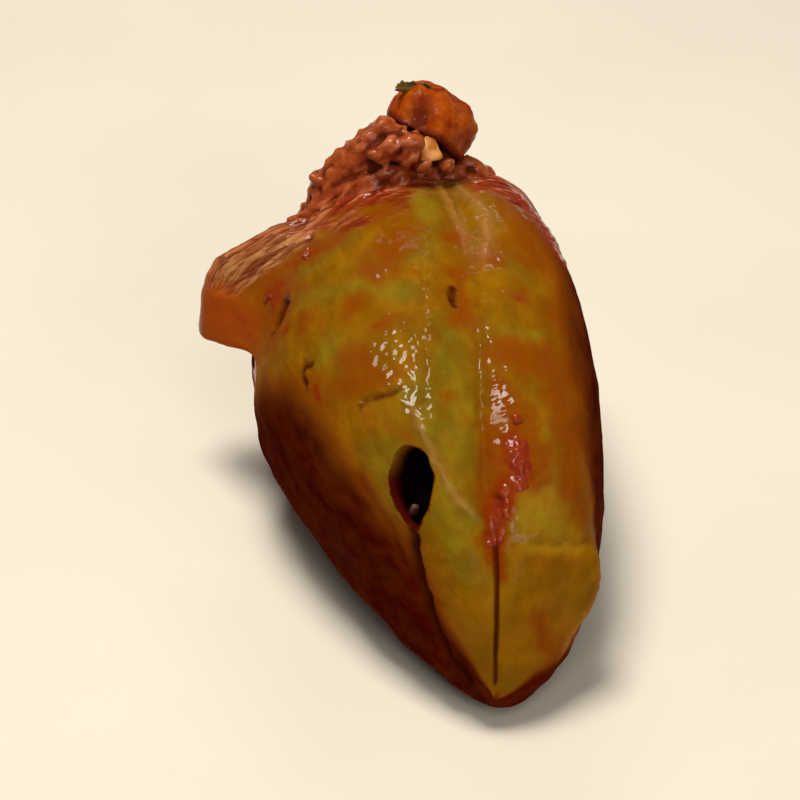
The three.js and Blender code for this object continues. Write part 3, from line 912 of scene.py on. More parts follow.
def core_shell():
    """The filling without its lumps: packed in the wall, hollow behind the hole, heaped."""
    inset = WALL + PACKING_GAP
    angle = np.linspace(0, 360, CORE_COLUMNS, endpoint=False)
    start = inset * TIP_WALL
    share = (np.arange(1, PACKED_ROWS + 1) / PACKED_ROWS)[:, None] ** 1.3
    s = start + (rim_at(angle) - 1 - start) * share
    packed = surface(s, np.broadcast_to(angle, s.shape), inset, FOLLOW)
    axes, centre = hole_frame()
    local = (packed - centre) @ axes
    round_hole = (local[..., 0] / HOLLOW["half_length"]) ** 2
    round_hole = round_hole + (local[..., 1] / HOLLOW["half_width"]) ** 2
    sunk = HOLLOW["depth"] * np.sqrt(np.clip(1 - round_hole, 0, 1)) * (local[..., 2] > -9)
    packed = packed - sunk[..., None] * axes[:, 2]
    inward = (np.arange(1, HEAP_ROWS + 1) / (HEAP_ROWS + 1))[:, None]
    heap = heap_point(angle[None], inward)
    heap = heap + 0.55 * layered(heap, 3.4, 91)[..., None] * grid_normals(heap)
    heap = sunk_at_rear(heap)
    rings = np.concatenate([packed, heap])
    return ring_shell(tip_of(inset), rings, heap_point(0, 1))


# Gaps between the clumps at the rear: centre x and z, half sizes, and depth.
REAR_GAPS = (
    (-3.5, 28.0, 5.6, 1.9, 5.5),
    (7.0, 22.5, 1.8, 3.6, 5.0),
    (-9.0, 17.0, 2.8, 1.5, 4.0),
    (1.0, 9.5, 3.2, 1.1, 3.5),
    (11.5, 12.5, 1.5, 2.0, 3.0),
)
REAR_FROM = (66.5, 69)  # how far along the pepper the heap's rear begins


def rear_gaps(points):
    """How deep the gaps at the rear of the heap are, as a share of each and in millimetres."""
    uneven = wobble(points, 0.9, 2.6, 97)
    behind = smooth(points[..., 1], *REAR_FROM) * (1 - smooth(points[..., 2], 34, 37))
    share, sunk = 0, 0
    for x, z, half_x, half_z, depth in REAR_GAPS:
        away = ((uneven[..., 0] - x) / half_x) ** 2 + ((uneven[..., 2] - z) / half_z) ** 2
        gap = behind * np.exp(-(away**1.5))
        share, sunk = np.maximum(share, gap), np.maximum(sunk, depth * gap)
    return share, sunk


def sunk_at_rear(points):
    clumps = 1.1 * layered(points, 6, 99, 2) * smooth(points[..., 1], *REAR_FROM)
    clumps *= 1 - smooth(points[..., 2], 34, 38)
    moved = points.copy()
    moved[..., 1] += clumps - rear_gaps(points)[1]
    return moved


def heap_grid(rows, columns):
    angle = np.linspace(0, 360, columns, endpoint=False)
    return heap_point(angle[None], np.linspace(0.02, 1, rows)[:, None])


def heap_sheet(name, out=0.0):
    """The heap's surface alone, as the ground that lumps and grains are scattered on."""
    points = heap_grid(*HEAP_SHEET)
    points = sunk_at_rear(points + out * grid_normals(points))
    return new_mesh(name, points.reshape(-1, 3), grid_faces(*HEAP_SHEET).tolist())


# How far the heap spills over the rim: degrees round the section, and millimetres.
SPILL = ((62, 0.3), (70, 1.0), (78, 2.4), (88, 3.4), (100, 3.6), (112, 2.4), (126, 1.0), (136, 0.4))
SPILL_SHEET = (140, 50)  # steps along the rim and across it


def spill_grid(out=0.0):
    """The ground that the heap spills over: from the heap across the rim and down the skin."""
    columns, rows = SPILL_SHEET
    along = np.linspace(SPILL[0][0], SPILL[-1][0], columns)
    angle, t = np.meshgrid(along, np.linspace(-1, 1, rows), indexing="ij")
    reach = np.interp(angle, *zip(*SPILL))
    on_heap = heap_point(angle, np.clip(-t, 0, 1) * 0.2)
    on_skin = surface(rim_at(angle) - reach * np.clip(t, 0, 1), angle)
    share = smooth(t, -0.15, 0.15)[..., None]
    points = on_heap * (1 - share) + on_skin * share
    normal = sheet_normals(points)
    normal *= np.sign((normal * (0, 0.2, 1)).sum(-1, keepdims=True))
    return points + out * normal, normal, t, angle


def spill_shell():
    """A thin ragged layer of sauced mince over the rim, which sinks into the skin at its edge."""
    points, normal, t, angle = spill_grid()
    ends = smooth(angle, SPILL[0][0], 74) * (1 - smooth(angle, 118, SPILL[-1][0]))
    ragged = 0.5 * bumps(points, 3.4, 141) + 0.4 * bumps(points, 1.5, 142)
    body = ends * smooth(1 - np.abs(t) + 0.3 * ragged, 0.05, 0.6)
    apex = 1 + 1.5 * bell(angle, 88, 18)
    thick = 0.75 * apex * body - 0.5 * (1 - body) + 0.15 * layered(points, 1.8, 143) * body
    return sheet_shell(points + normal * thick[..., None], points - 1.0 * normal)


def spill_ground():
    """The ground that the spilled lumps are scattered on."""
    points, _, t, angle = spill_grid(0.25)
    faces = sheet_faces(*SPILL_SHEET).tolist()
    mesh = new_mesh("spill_ground", points.reshape(-1, 3), faces)
    spread = smooth(0.75 - t, 0, 0.4) * smooth(angle, 68, 76) * (1 - smooth(angle, 126, 134))
    set_mask(mesh, "spread", spread.ravel())
    return mesh


CALM = ((2.8, 67.0, 41.5), 3.4)  # a wet patch of the heap with few lumps: centre and radius


def lumpy(points):
    """Where the heap has lumps: nearly everywhere but on its wet patch and under the petal."""
    calm = np.exp(-((np.linalg.norm(points - np.array(CALM[0]), axis=-1) / CALM[1]) ** 2))
    from_petal = np.linalg.norm(points - np.array(PETAL["centre"]), axis=-1)
    return (1 - 0.85 * calm) * smooth(from_petal, 5.0, 6.4) * (1 - rear_gaps(points)[0])


def heap_rear(points):
    """The heap's rear, which faces out of the mouth, but for its gaps."""
    rear = smooth(points[:, 1], *REAR_FROM) * (1 - smooth(points[:, 2], 32, 36))
    return rear * (1 - rear_gaps(points)[0])


def heap_sauce(points):
    """How much sauce covers the heap: most of its front, over the rim, and patches."""
    front = 1 - smooth(points[:, 1], 66, 76)
    patchy = 0.5 + 0.5 * layered(points, 5, 161)
    return np.clip(0.85 * front + 0.6 * smooth(patchy, 0.45, 0.9), 0, 1)


CLUMPS = (  # larger lumps of mince against the petal: centre and radius
    ((3.8, 66.0, 46.6), 1.7),
    ((1.6, 66.8, 46.0), 1.9),
    ((3.0, 65.6, 44.6), 1.6),
    ((-0.3, 67.2, 44.6), 1.8),
    ((5.0, 65.2, 43.4), 1.3),
    ((8.4, 66.0, 42.6), 1.2),
    ((0.8, 69.4, 47.6), 1.6),
    ((-1.2, 68.8, 46.4), 1.2),
    ((2.4, 68.2, 47.4), 1.1),
    ((-2.4, 68.0, 45.2), 1.0),
    ((1.8, 68.0, 45.4), 1.9),
    ((3.8, 68.8, 45.2), 1.8),
)


def strands(points):
    """Shreds of meat and onion that lie along the rim, from -1 to 1."""
    x, y, z = np.moveaxis(points, -1, 0)
    flat = np.stack([(0.78 * x + 0.62 * z) / 3, 0.78 * z - 0.62 * x, y], -1)
    return np.clip(1.3 * bumps(flat, 1.0, 177) + 0.8 * bumps(flat, 0.6, 178), -1, 1)


def scattered_lumps(name, ground, spacing, sizes):
    """Lumps of mince scattered over a ground where its mask `spread` is high."""
    lumps = [
        lump_mesh(f"lump_{k}", 150 + k, shape, LUMP_ROUGHNESS) for k, shape in enumerate(LUMP_SHAPES)
    ]
    return scatter(
        name,
        ground,
        lumps,
        None,
        Spacing=spacing,
        Density=LUMP_DENSITY,
        Smallest=LUMP_SMALLEST * sizes.lump / MM,
        Largest=LUMP_LARGEST[name] * sizes.lump / MM,
        Tilt=math.pi,
        Where="spread",
        Seed=5,
    )


def add_lumps(mesh, sizes):
    """Adds the lumps, the spilled layer and the clumps to the core's mesh."""
    heap = heap_sheet("lump_ground")
    set_mask(heap, "spread", lumpy(points_of(heap)))
    both = bmesh.new()
    both.from_mesh(mesh)
    for name, ground, spacing in (
        ("heap_lumps", heap, sizes.lump_spacing),
        ("spill_lumps", spill_ground(), 0.8 * sizes.lump_spacing),
    ):
        lumps = scattered_lumps(name, ground, spacing, sizes)
        both.from_mesh(lumps.data)
        bpy.data.objects.remove(lumps)
    both.from_mesh(new_mesh("spill", *spill_shell()))
    for number, clump in enumerate(CLUMPS):
        both.from_mesh(clump_mesh(number, *clump))
    both.to_mesh(mesh)
    both.free()


def melt(piece):
    """Turns overlapping shells into one soft solid."""
    remesh = piece.modifiers.new("melt", "REMESH")
    remesh.mode = "VOXEL"
    remesh.voxel_size = VOXEL * MM
    soften = piece.modifiers.new("soften", "SMOOTH")
    soften.factor = 0.5
    soften.iterations = 2
    apply_modifiers(piece)


def roughen(mesh):
    """Gives the mince its crumb and shreds, and the masks that colour it."""
    points = points_of(mesh)
    shown = smooth(points[:, 1], *SHOWN_FROM)[:, None]
    rough = 0.16 * layered(points, 1.5, 171) + 0.05 * bumps(points, 0.55, 175)
    shred = strands(points) * (1 - smooth(points[:, 1], *SHREDS_UNTIL))
    rough += 0.18 * shred
    points = points + normals_of(mesh) * rough[:, None] * (0.3 + 0.7 * shown)
    set_points(mesh, points)
    # Painted shade in the rear gaps between the clumps.
    gap_shade = 0.95 * smooth(rear_gaps(points)[0], 0.35, 0.9)
    set_mask(mesh, "hollow", hollowness(mesh))
    set_mask(mesh, "sauce", heap_sauce(points))
    set_mask(mesh, "strand", 0.5 + 0.5 * shred)
    # Painted shade: the filling seen through the hole and the rear gaps are painted near black.
    set_mask(mesh, "cave", np.maximum(in_hole(points, 2.5, 12), gap_shade))


GRAINS = {  # two shapes in millimetres, tilt in radians and seed
    "rice_grains": (((2.3, 0.75, 0.7), (1.7, 0.8, 0.7)), 0.9, 21),
    "onion_dice": (((1.3, 0.9, 0.6), (0.9, 0.8, 0.6)), 0.8, 22),
    "herb_flecks": (((0.9, 0.6, 0.12), (0.7, 0.5, 0.1)), 0.3, 23),
}


def scattered_grains(name, material, spacing):
    """Grains of one kind scattered over the rear of the heap."""
    shapes, tilt, seed = GRAINS[name]
    ground = heap_sheet(name + "_ground", out=0.5)
    set_mask(ground, "rear", heap_rear(points_of(ground)))
    return scatter(
        name,
        ground,
        [lump_mesh(f"{name}_{k}", seed + k, shapes[k], GRAIN_ROUGHNESS) for k in range(2)],
        material,
        Spacing=spacing,
        Density=GRAIN_DENSITY,
        Smallest=GRAIN_SIZES[0],
        Largest=GRAIN_SIZES[1],
        Tilt=tilt,
        Lift=GRAIN_LIFT * MM,
        Where="rear",
        Seed=seed,
    )


def clump_mesh(number, centre, radius):
    shape = radius * np.array(CLUMP_SHAPE)
    mesh = lump_mesh(f"clump_{number}", 190 + number, shape, CLUMP_ROUGHNESS)
    set_points(mesh, (points_of(mesh) + SHIFT) + centre)
    return mesh


def lump_mesh(name, seed, shape, roughness):
    """A knobbly ball of radius 1 mm before its shape stretches it."""
    ball = bmesh.new()
    bmesh.ops.create_icosphere(ball, subdivisions=LUMP_FACES, radius=1)
    mesh = bpy.data.meshes.new(name)
    ball.to_mesh(mesh)
    ball.free()
    flat = np.array([vertex.co for vertex in mesh.vertices])
    knobs = 1 + roughness * bumps(flat, 0.8, seed)[:, None]
    mesh.vertices.foreach_set("co", (flat * knobs * shape * MM).astype(np.float32).ravel())
    mesh.update()
    return mesh


REAR_BITS = (  # bits of onion at the rear: x and z, size, and lean in degrees
    ((3.4, 16.0), (3.4, 0.7, 1.25), (8, 40, 6)),
    ((-7.0, 23.0), (1.5, 0.6, 0.9), (0, -25, 10)),
    ((-3.0, 7.0), (1.3, 0.6, 0.8), (5, 15, -8)),
    ((9.5, 8.0), (1.2, 0.6, 0.7), (0, 60, 0)),
)


def rear_onion():
    """Bits of onion half sunk in the rear of the heap, as one mesh."""
    ground = sunk_at_rear(heap_grid(60, 240)).reshape(-1, 3)
    ground = ground[ground[:, 1] > REAR_FROM[0]]
    both = bmesh.new()
    for number, ((x, z), size, lean) in enumerate(REAR_BITS):
        nearest = np.argmin((ground[:, 0] - x) ** 2 + (ground[:, 2] - z) ** 2)
        bit = bit_mesh("onion_part", ground[nearest] + (0, 0.9, 0), size, 210 + number, lean)
        both.from_mesh(bit)
        bpy.data.meshes.remove(bit)
    mesh = bpy.data.meshes.new("rear_onion")
    both.to_mesh(mesh)
    both.free()
    return mesh


def source_collection(name, meshes):
    """Unlinked objects for a scatter to pick from."""
    collection = bpy.data.collections.new(name)
    for mesh in meshes:
        collection.objects.link(bpy.data.objects.new(mesh.name, mesh))
    return collection


def drop_collection(collection):
    for item in list(collection.objects):
        bpy.data.objects.remove(item)
    bpy.data.collections.remove(collection)


def scatter_tree():
    """Geometry Nodes that scatter a collection's pieces over a surface, lying on it."""
    name = "scatter_on_surface"
    if name in bpy.data.node_groups:
        return bpy.data.node_groups[name]
    tree = bpy.data.node_groups.new(name, "GeometryNodeTree")
    face = tree.interface
    face.new_socket("Surface", in_out="INPUT", socket_type="NodeSocketGeometry")
    face.new_socket("Pieces", in_out="INPUT", socket_type="NodeSocketCollection")
    for label, default in (
        ("Spacing", 0.002),
        ("Density", 300000.0),
        ("Smallest", 0.7),
        ("Largest", 1.3),
        ("Tilt", 0.5),
        ("Lift", 0.0),
    ):
        socket = face.new_socket(label, in_out="INPUT", socket_type="NodeSocketFloat")
        socket.default_value = default
    face.new_socket("Where", in_out="INPUT", socket_type="NodeSocketString")
    face.new_socket("Seed", in_out="INPUT", socket_type="NodeSocketInt")
    face.new_socket("Material", in_out="INPUT", socket_type="NodeSocketMaterial")
    face.new_socket("Geometry", in_out="OUTPUT", socket_type="NodeSocketGeometry")

    graph = Graph(tree)
    given = graph.add("NodeGroupInput").outputs
    where = graph.add("GeometryNodeInputNamedAttribute", {"Name": given["Where"]})
    spots = graph.add(
        "GeometryNodeDistributePointsOnFaces",
        {
            "Mesh": given["Surface"],
            "Distance Min": given["Spacing"],
            "Density Max": given["Density"],
            "Density Factor": where.outputs["Attribute"],
            "Seed": given["Seed"],
        },
        distribute_method="POISSON",
    )
    picked = graph.add(
        "GeometryNodeCollectionInfo",
        {"Collection": given["Pieces"], "Separate Children": True, "Reset Children": True},
    )
    lean = graph.add("FunctionNodeRandomValue", data_type="FLOAT_VECTOR")
    tilt = given["Tilt"]
    sides = graph.add("ShaderNodeCombineXYZ", {"X": tilt, "Y": tilt, "Z": math.pi})
    turned_back = {0: sides.outputs[0], "Scale": -1.0}
    back = graph.add("ShaderNodeVectorMath", turned_back, operation="SCALE")
    graph.join(back.outputs[0], lean.inputs[0])
    graph.join(sides.outputs[0], lean.inputs[1])
    graph.join(given["Seed"], lean.inputs["Seed"])
    turned = graph.add(
        "FunctionNodeRotateRotation",
        {"Rotation": spots.outputs["Rotation"]},
        rotation_space="LOCAL",
    )
    spin = graph.add("FunctionNodeEulerToRotation", {0: lean.outputs[0]})
    graph.join(spin.outputs[0], turned.inputs["Rotate By"])
    size = graph.add("FunctionNodeRandomValue", data_type="FLOAT")
    graph.join(given["Smallest"], size.inputs[2])
    graph.join(given["Largest"], size.inputs[3])
    graph.join(given["Seed"], size.inputs["Seed"])
    raised = graph.add(
        "ShaderNodeVectorMath",
        {0: spots.outputs["Normal"], "Scale": given["Lift"]},
        operation="SCALE",
    )
    moved = graph.add(
        "GeometryNodeSetPosition",
        {"Geometry": spots.outputs["Points"], "Offset": raised.outputs[0]},
    )
    placed = graph.add(
        "GeometryNodeInstanceOnPoints",
        {
            "Points": moved.outputs[0],
            "Instance": picked.outputs[0],
            "Pick Instance": True,
            "Rotation": turned.outputs[0],
            "Scale": size.outputs[1],
        },
    )
    real = graph.add("GeometryNodeRealizeInstances", {"Geometry": placed.outputs[0]})
    dressed = graph.add(
        "GeometryNodeSetMaterial",
        {"Geometry": real.outputs[0], "Material": given["Material"]},
    )
    graph.join(dressed.outputs[0], graph.add("NodeGroupOutput").inputs["Geometry"])
    return tree


def scatter(name, ground, meshes, material, **settings):
    """A plain mesh object of pieces scattered over a ground mesh by Geometry Nodes."""
    tree = scatter_tree()
    piece = new_object(name, ground)
    collection = source_collection(name + "_source", meshes)
    modifier = piece.modifiers.new("scatter", "NODES")
    sockets = {
        item.name: item.identifier
        for item in tree.interface.items_tree
        if item.in_out == "INPUT"
    }
    values = {"Pieces": collection, "Material": material, **settings}
    modifier.node_group = tree
    for label, value in values.items():
        modifier[sockets[label]] = value
    apply_modifiers(piece)
    drop_collection(collection)
    piece.data.shade_smooth()
    return piece


# ------------------------------------------------------------------ materials


class Graph:
    """Adds nodes to a tree, with inputs given as plain values or as other nodes' outputs."""

    def __init__(self, tree):
        self.tree = tree

    def join(self, output, socket):
        self.tree.links.new(output, socket)

    def add(self, kind, values=None, **settings):
        node = self.tree.nodes.new(kind)
        for key, value in settings.items():
            setattr(node, key, value)
        for key, value in (values or {}).items():
            self.feed(node.inputs[key], value)
        return node

    def feed(self, socket, value):
        if isinstance(value, bpy.types.NodeSocket):
            self.join(value, socket)
        elif socket.type == "RGBA":
            socket.default_value = (*value, 1)
        else:
            socket.default_value = value

    def mask(self, name):
        return self.add("ShaderNodeAttribute", attribute_name=name).outputs["Fac"]

    def place(self, stretch=(1, 1, 1)):
        """Object coordinates in millimetres, squeezed along an axis to stretch a pattern."""
        coordinates = self.add("ShaderNodeTexCoord").outputs["Object"]
        scale = tuple(1000 * x for x in stretch)
        return self.add("ShaderNodeMapping", {"Vector": coordinates, "Scale": scale}).outputs[0]

    def noise(self, vector, scale, detail, roughness=0.5):
        """Noise with about `scale` bumps to a millimetre."""
        values = {"Vector": vector, "Scale": scale, "Detail": detail, "Roughness": roughness}
        return self.add("ShaderNodeTexNoise", values).outputs["Fac"]

    def math(self, operation, *values):
        node = self.add("ShaderNodeMath", operation=operation)
        for socket, value in zip(node.inputs, values):
            self.feed(socket, value)
        return node.outputs[0]

    def ramp(self, value, low, high, to_low=0.0, to_high=1.0):
        values = {"Value": value, "From Min": low, "From Max": high}
        values |= {"To Min": to_low, "To Max": to_high}
        return self.add("ShaderNodeMapRange", values, interpolation_type="SMOOTHSTEP").outputs[0]

    def share(self, mask, fraction):
        return self.math("MULTIPLY", mask, fraction)

    def highest(self, mask, *others):
        for other in others:
            mask = self.math("MAXIMUM", mask, other)
        return mask

    def paint(self, under, mask, colour, fraction=None):
        """A colour over another one where a mask is high, or over a fraction of that. The mask
        is the name of one that the mesh has, or another node's output."""
        mask = self.mask(mask) if isinstance(mask, str) else mask
        return self.mix(mask if fraction is None else self.share(mask, fraction), under, colour)

    def mix(self, share, first, second, blend="MIX"):
        values = {0: share, 6: first, 7: second}  # the factor and the two colours
        node = self.add("ShaderNodeMix", data_type="RGBA", blend_type=blend)
        for number, value in values.items():
            self.feed(node.inputs[number], value)
        return node.outputs[2]

    def use(self, group, place, size):
        """A group's outputs, for a pattern of a given size in millimetres."""
        node = self.add("ShaderNodeGroup", node_tree=group)
        self.feed(node.inputs["Place"], place)
        self.feed(node.inputs["Size"], size)
        return node.outputs


def pattern_group(name, details, finer, outputs):
    """A shader node group with a wide noise at a place and a size, and one that is `finer` times
    as fine. Gives its tree, its graph, both noises and the inputs of its output node."""
    tree = bpy.data.node_groups.new(name, "ShaderNodeTree")
    tree.interface.new_socket("Place", in_out="INPUT", socket_type="NodeSocketVector")
    size = tree.interface.new_socket("Size", in_out="INPUT", socket_type="NodeSocketFloat")
    size.default_value = 1.0
    for label in outputs:
        tree.interface.new_socket(label, in_out="OUTPUT", socket_type="NodeSocketFloat")
    graph = Graph(tree)
    given = graph.add("NodeGroupInput").outputs
    scale = graph.math("DIVIDE", 1.0, given["Size"])
    wide = graph.noise(given["Place"], scale, details[0])
    fine = graph.noise(given["Place"], graph.math("MULTIPLY", scale, finer), details[1])
    return tree, graph, wide, fine, graph.add("NodeGroupOutput").inputs


def wet_relief_group():
    """Dimples and finer dimples of a wet cooked surface, as a height."""
    name = "wet_relief"
    if name in bpy.data.node_groups:
        return bpy.data.node_groups[name]
    tree, graph, wide, fine, out = pattern_group(name, (3.0, 2.0), 3.1, ("Height",))
    graph.join(graph.math("MULTIPLY_ADD", fine, 0.35, wide), out["Height"])
    return tree


def blotches_group():
    """Soft uneven patches and finer ones, each as a mask from 0 to 1."""
    name = "blotches"
    if name in bpy.data.node_groups:
        return bpy.data.node_groups[name]
    tree, graph, wide, fine, out = pattern_group(name, (4.0, 2.0), 4.0, ("Mask", "Fine"))
    graph.join(graph.ramp(wide, 0.38, 0.62), out["Mask"])
    graph.join(graph.ramp(fine, 0.35, 0.65), out["Fine"])
    return tree


def new_material(name):
    """A material with its Principled shader, ready for a surface's colours."""
    made = bpy.data.materials.new(name)
    made.use_nodes = True
    graph = Graph(made.node_tree)
    shader = made.node_tree.nodes["Principled BSDF"]
    return made, graph, shader


def finish_surface(graph, shader, colour, roughness, height, bump_mm, coat, **constants):
    """Feeds the Principled shader: colour, roughness, bump, wetness and its fixed values."""
    graph.feed(shader.inputs["Base Color"], colour)
    graph.feed(shader.inputs["Roughness"], roughness)
    relief_of = {"Height": height, "Strength": 1.0, "Distance": bump_mm * MM}
    bump = graph.add("ShaderNodeBump", relief_of)
    graph.join(bump.outputs[0], shader.inputs["Normal"])
    graph.feed(shader.inputs["Coat Weight"], coat)
    fixed = {
        "IOR": 1.38,
        "Coat Roughness": 0.12,
        "Coat IOR": 1.3,
        "Specular IOR Level": 0.2,
        "Subsurface Weight": 0.12,
        "Subsurface Radius": (1.0, 0.35, 0.1),
        "Subsurface Scale": 1.2 * MM,
    }
    for label, value in constants.items():
        fixed[label.replace("_", " ").title().replace("Ior", "IOR")] = value
    for label, value in fixed.items():
        shader.inputs[label].default_value = value


def plain_skin(graph, colours, spots, small):
    """Gold and olive skin, greener between the lobes, streaked, and lighter over the knob, partly as
    painted light.
    """
    streaks = graph.noise(graph.place((1, 0.1, 1)), 1 / 0.8, 3.0)
    cloudy = graph.noise(graph.place((1, 0.6, 1)), 1 / 3.4, 2.0)
    shade = graph.ramp(cloudy, 0.35, 0.65, 0.82, 1.1)
    grey = graph.add("ShaderNodeCombineXYZ", {0: shade, 1: shade, 2: shade})
    colour = graph.mix(spots["Mask"], colours.skin_gold, colours.skin_olive)
    colour = graph.paint(colour, "green", colours.skin_green, 0.85)
    colour = graph.paint(colour, small["Mask"], colours.skin_stain, 0.18)
    colour = graph.mix(1.0, colour, grey.outputs[0], "MULTIPLY")
    colour = graph.paint(colour, graph.ramp(streaks, 0.5, 0.7), colours.skin_stain, 0.3)
    # Partly painted light: the skin over the knob's step is painted lighter.
    return graph.paint(colour, "step", colours.skin_paler_and_lit, 0.6)


def sauced_rim(graph, colours, lit_tops, lines):
    """Thick sauce along the rim, streaked with pale shreds: paler on the fibres' crests and darker
    in their hollows and creases, partly as painted light and painted shade.
    """
    fibre = graph.mask("fibre")
    colour = graph.mix(graph.ramp(fibre, 0.5, 0.8), colours.sauce, colours.strand)
    colour = graph.paint(colour, lit_tops, colours.strand, 0.5)
    colour = graph.paint(colour, graph.ramp(fibre, 0.12, 0.4, 0.8, 0.0), colours.sauce_dark)
    return graph.paint(colour, lines, colours.sauce_dark, 0.7)


def torn_flesh(graph, colours, small, lit_tops, lines, sauced):
    """Bare fibrous flesh, with sauce on it where the skin beside it has some: darker in the fibres'
    hollows and creases and paler on their crests, partly as painted shade and painted light.
    """
    fibre = graph.mask("fibre")
    colour = graph.mix(fibre, colours.flesh_stained, colours.flesh)
    colour = graph.paint(colour, graph.ramp(fibre, 0.12, 0.42, 0.85, 0.0), colours.mince_dark)
    colour = graph.paint(colour, small["Mask"], colours.skin_stain, 0.35)
    colour = graph.paint(colour, lit_tops, colours.flesh, 0.6)
    colour = graph.paint(colour, lines, colours.mince_dark, 0.6)
    return graph.paint(colour, "rim", sauced, 0.6)


def skin_wetness(graph):
    """The skin's wet coat: most where a film of sauce lies, least where the skin is dark."""
    rim, bare = graph.share(graph.mask("rim"), 0.7), graph.share(graph.mask("bare"), 0.5)
    wet = graph.math("MULTIPLY_ADD", graph.highest(graph.mask("film"), rim, bare), 0.9, 0.05)
    dry = graph.highest(graph.mask("deep"), graph.mask("inner"), graph.mask("hole"))
    return graph.share(wet, graph.ramp(dry, 0.2, 0.9, 1.0, 0.12))


def skin_material(colours):
    made, graph, shader = new_material("pepper_skin")
    spots = graph.use(blotches_group(), graph.place((1, 0.55, 1)), 6.0)
    small = graph.use(blotches_group(), graph.place((1, 0.6, 1)), 1.5)
    grain = graph.noise(graph.place((0.2, 1, 0.2)), 1 / 1.4, 3.0, 0.6)
    # Thin creases and the crests between them: the rim and the torn flesh are painted darker in the
    # creases and paler on the crests, as painted shade and painted light.
    from_middle = graph.math("ABSOLUTE", graph.math("SUBTRACT", grain, 0.5))
    lines = graph.ramp(from_middle, 0.0, 0.045, 1.0, 0.0)
    lit_tops = graph.ramp(grain, 0.54, 0.68)

    colour = plain_skin(graph, colours, spots, small)
    colour = graph.paint(colour, "stain", colours.skin_stain)
    # Low on the sides the skin is painted darker: sauce stain in part, and painted shade.
    deep = graph.mask("deep")
    colour = graph.paint(colour, graph.ramp(deep, 0, 0.55), colours.skin_stain, 0.9)
    uneven = graph.noise(graph.place((1, 0.4, 1)), 1 / 2.2, 4.0, 0.6)
    uneven = graph.ramp(uneven, 0.35, 0.65, 0.84, 1.0)
    colour = graph.paint(colour, graph.ramp(deep, 0.3, 0.95), colours.skin_sauce_and_shade, uneven)
    thin = graph.ramp(small["Fine"], 0, 1, 0.75, 1.0)
    colour = graph.paint(colour, "sauce", colours.sauce_film, thin)
    sauced = sauced_rim(graph, colours, lit_tops, lines)
    patchy = graph.ramp(small["Mask"], 0, 1, 0.7, 1.0)
    colour = graph.paint(colour, "rim", sauced, patchy)
    # Pale rib crests, partly a painted highlight.
    colour = graph.paint(colour, "tan", colours.flesh, 0.5)
    colour = graph.paint(colour, "bare", torn_flesh(graph, colours, small, lit_tops, lines, sauced))
    # The strip's outer face, painted brighter as painted light.
    colour = graph.paint(colour, "face", colours.flap_and_light, 0.9)
    within = graph.mix(spots["Mask"], colours.skin_stain, colours.skin_sauce_and_shade)
    colour = graph.paint(colour, "inner", within)
    # Dark marks and grooves, partly painted shade in the split's gap and the pits.
    colour = graph.paint(colour, "scar", colours.scar)
    # The hole's dark cut walls, partly painted shade.
    colour = graph.paint(colour, "hole", colours.hole)

    height = graph.use(wet_relief_group(), graph.place((1, 0.7, 1)), 0.8)["Height"]
    fibrous = graph.highest(graph.mask("bare"), graph.mask("rim"))
    height = graph.math("MULTIPLY_ADD", graph.share(lines, fibrous), -1.6, height)
    rough = graph.ramp(spots["Fine"], 0.0, 1.0, 0.4, 0.55)
    surface_of = (colour, rough, height, 0.1, skin_wetness(graph))
    finish_surface(graph, shader, *surface_of, specular_ior_level=0.0, coat_roughness=0.07)
    return made


def filling_material(colours):
    made, graph, shader = new_material("mince")
    place = graph.place()
    spots = graph.use(blotches_group(), place, 2.6)
    small = graph.use(blotches_group(), place, 0.9)
    hollow, strand = graph.mask("hollow"), graph.mask("strand")
    colour = graph.mix(spots["Mask"], colours.mince, colours.mince_oily_and_lit)
    colour = graph.paint(colour, small["Mask"], colours.mince_dark, 0.45)
    colour = graph.paint(colour, "sauce", colours.sauce, 0.7)
    # Painted light: the tops of the lumps are painted lighter.
    colour = graph.paint(colour, graph.ramp(hollow, -0.7, -0.1, 0.7, 0.0), colours.mince_oily_and_lit)
    # Pale shreds, their paleness partly a painted sheen on the wet sauce.
    colour = graph.paint(colour, graph.ramp(strand, 0.58, 0.85, 0.0, 0.8), colours.strand)
    # Painted shade in the hollows among the lumps and between the shreds.
    between = graph.ramp(strand, 0.1, 0.42, 0.85, 0.0)
    pit = graph.highest(graph.ramp(hollow, -0.02, 0.40), between)
    colour = graph.paint(colour, pit, colours.mince_pit_shade, 0.82)
    # Painted shade through the hole and in the rear gaps.
    colour = graph.paint(colour, "cave", colours.cave)
    height = graph.use(wet_relief_group(), place, 0.5)["Height"]
    rough = graph.ramp(small["Fine"], 0.0, 1.0, 0.3, 0.55)
    coat = graph.math("MULTIPLY_ADD", graph.mask("sauce"), 0.6, 0.3)
    sunken = graph.highest(graph.mask("cave"), pit)
    coat = graph.share(coat, graph.ramp(sunken, 0.0, 0.6, 1.0, 0.0))
    surface_of = (colour, rough, height, 0.12, coat)
    finish_surface(graph, shader, *surface_of, specular_ior_level=0.05, coat_roughness=0.08)
    return made


def grain_material(name, first, second, roughness=0.35, coat=0.5):
    """Rice, onion dice and flecks: two colours in patches, wet and slightly translucent."""
    made, graph, shader = new_material(name)
    spots = graph.use(blotches_group(), graph.place(), 2.0)
    colour = graph.mix(spots["Mask"], first, second)
    height = graph.use(wet_relief_group(), graph.place(), 0.6)["Height"]
    finish_surface(graph, shader, colour, roughness, height, 0.06, coat, subsurface_weight=0.3)
    return made


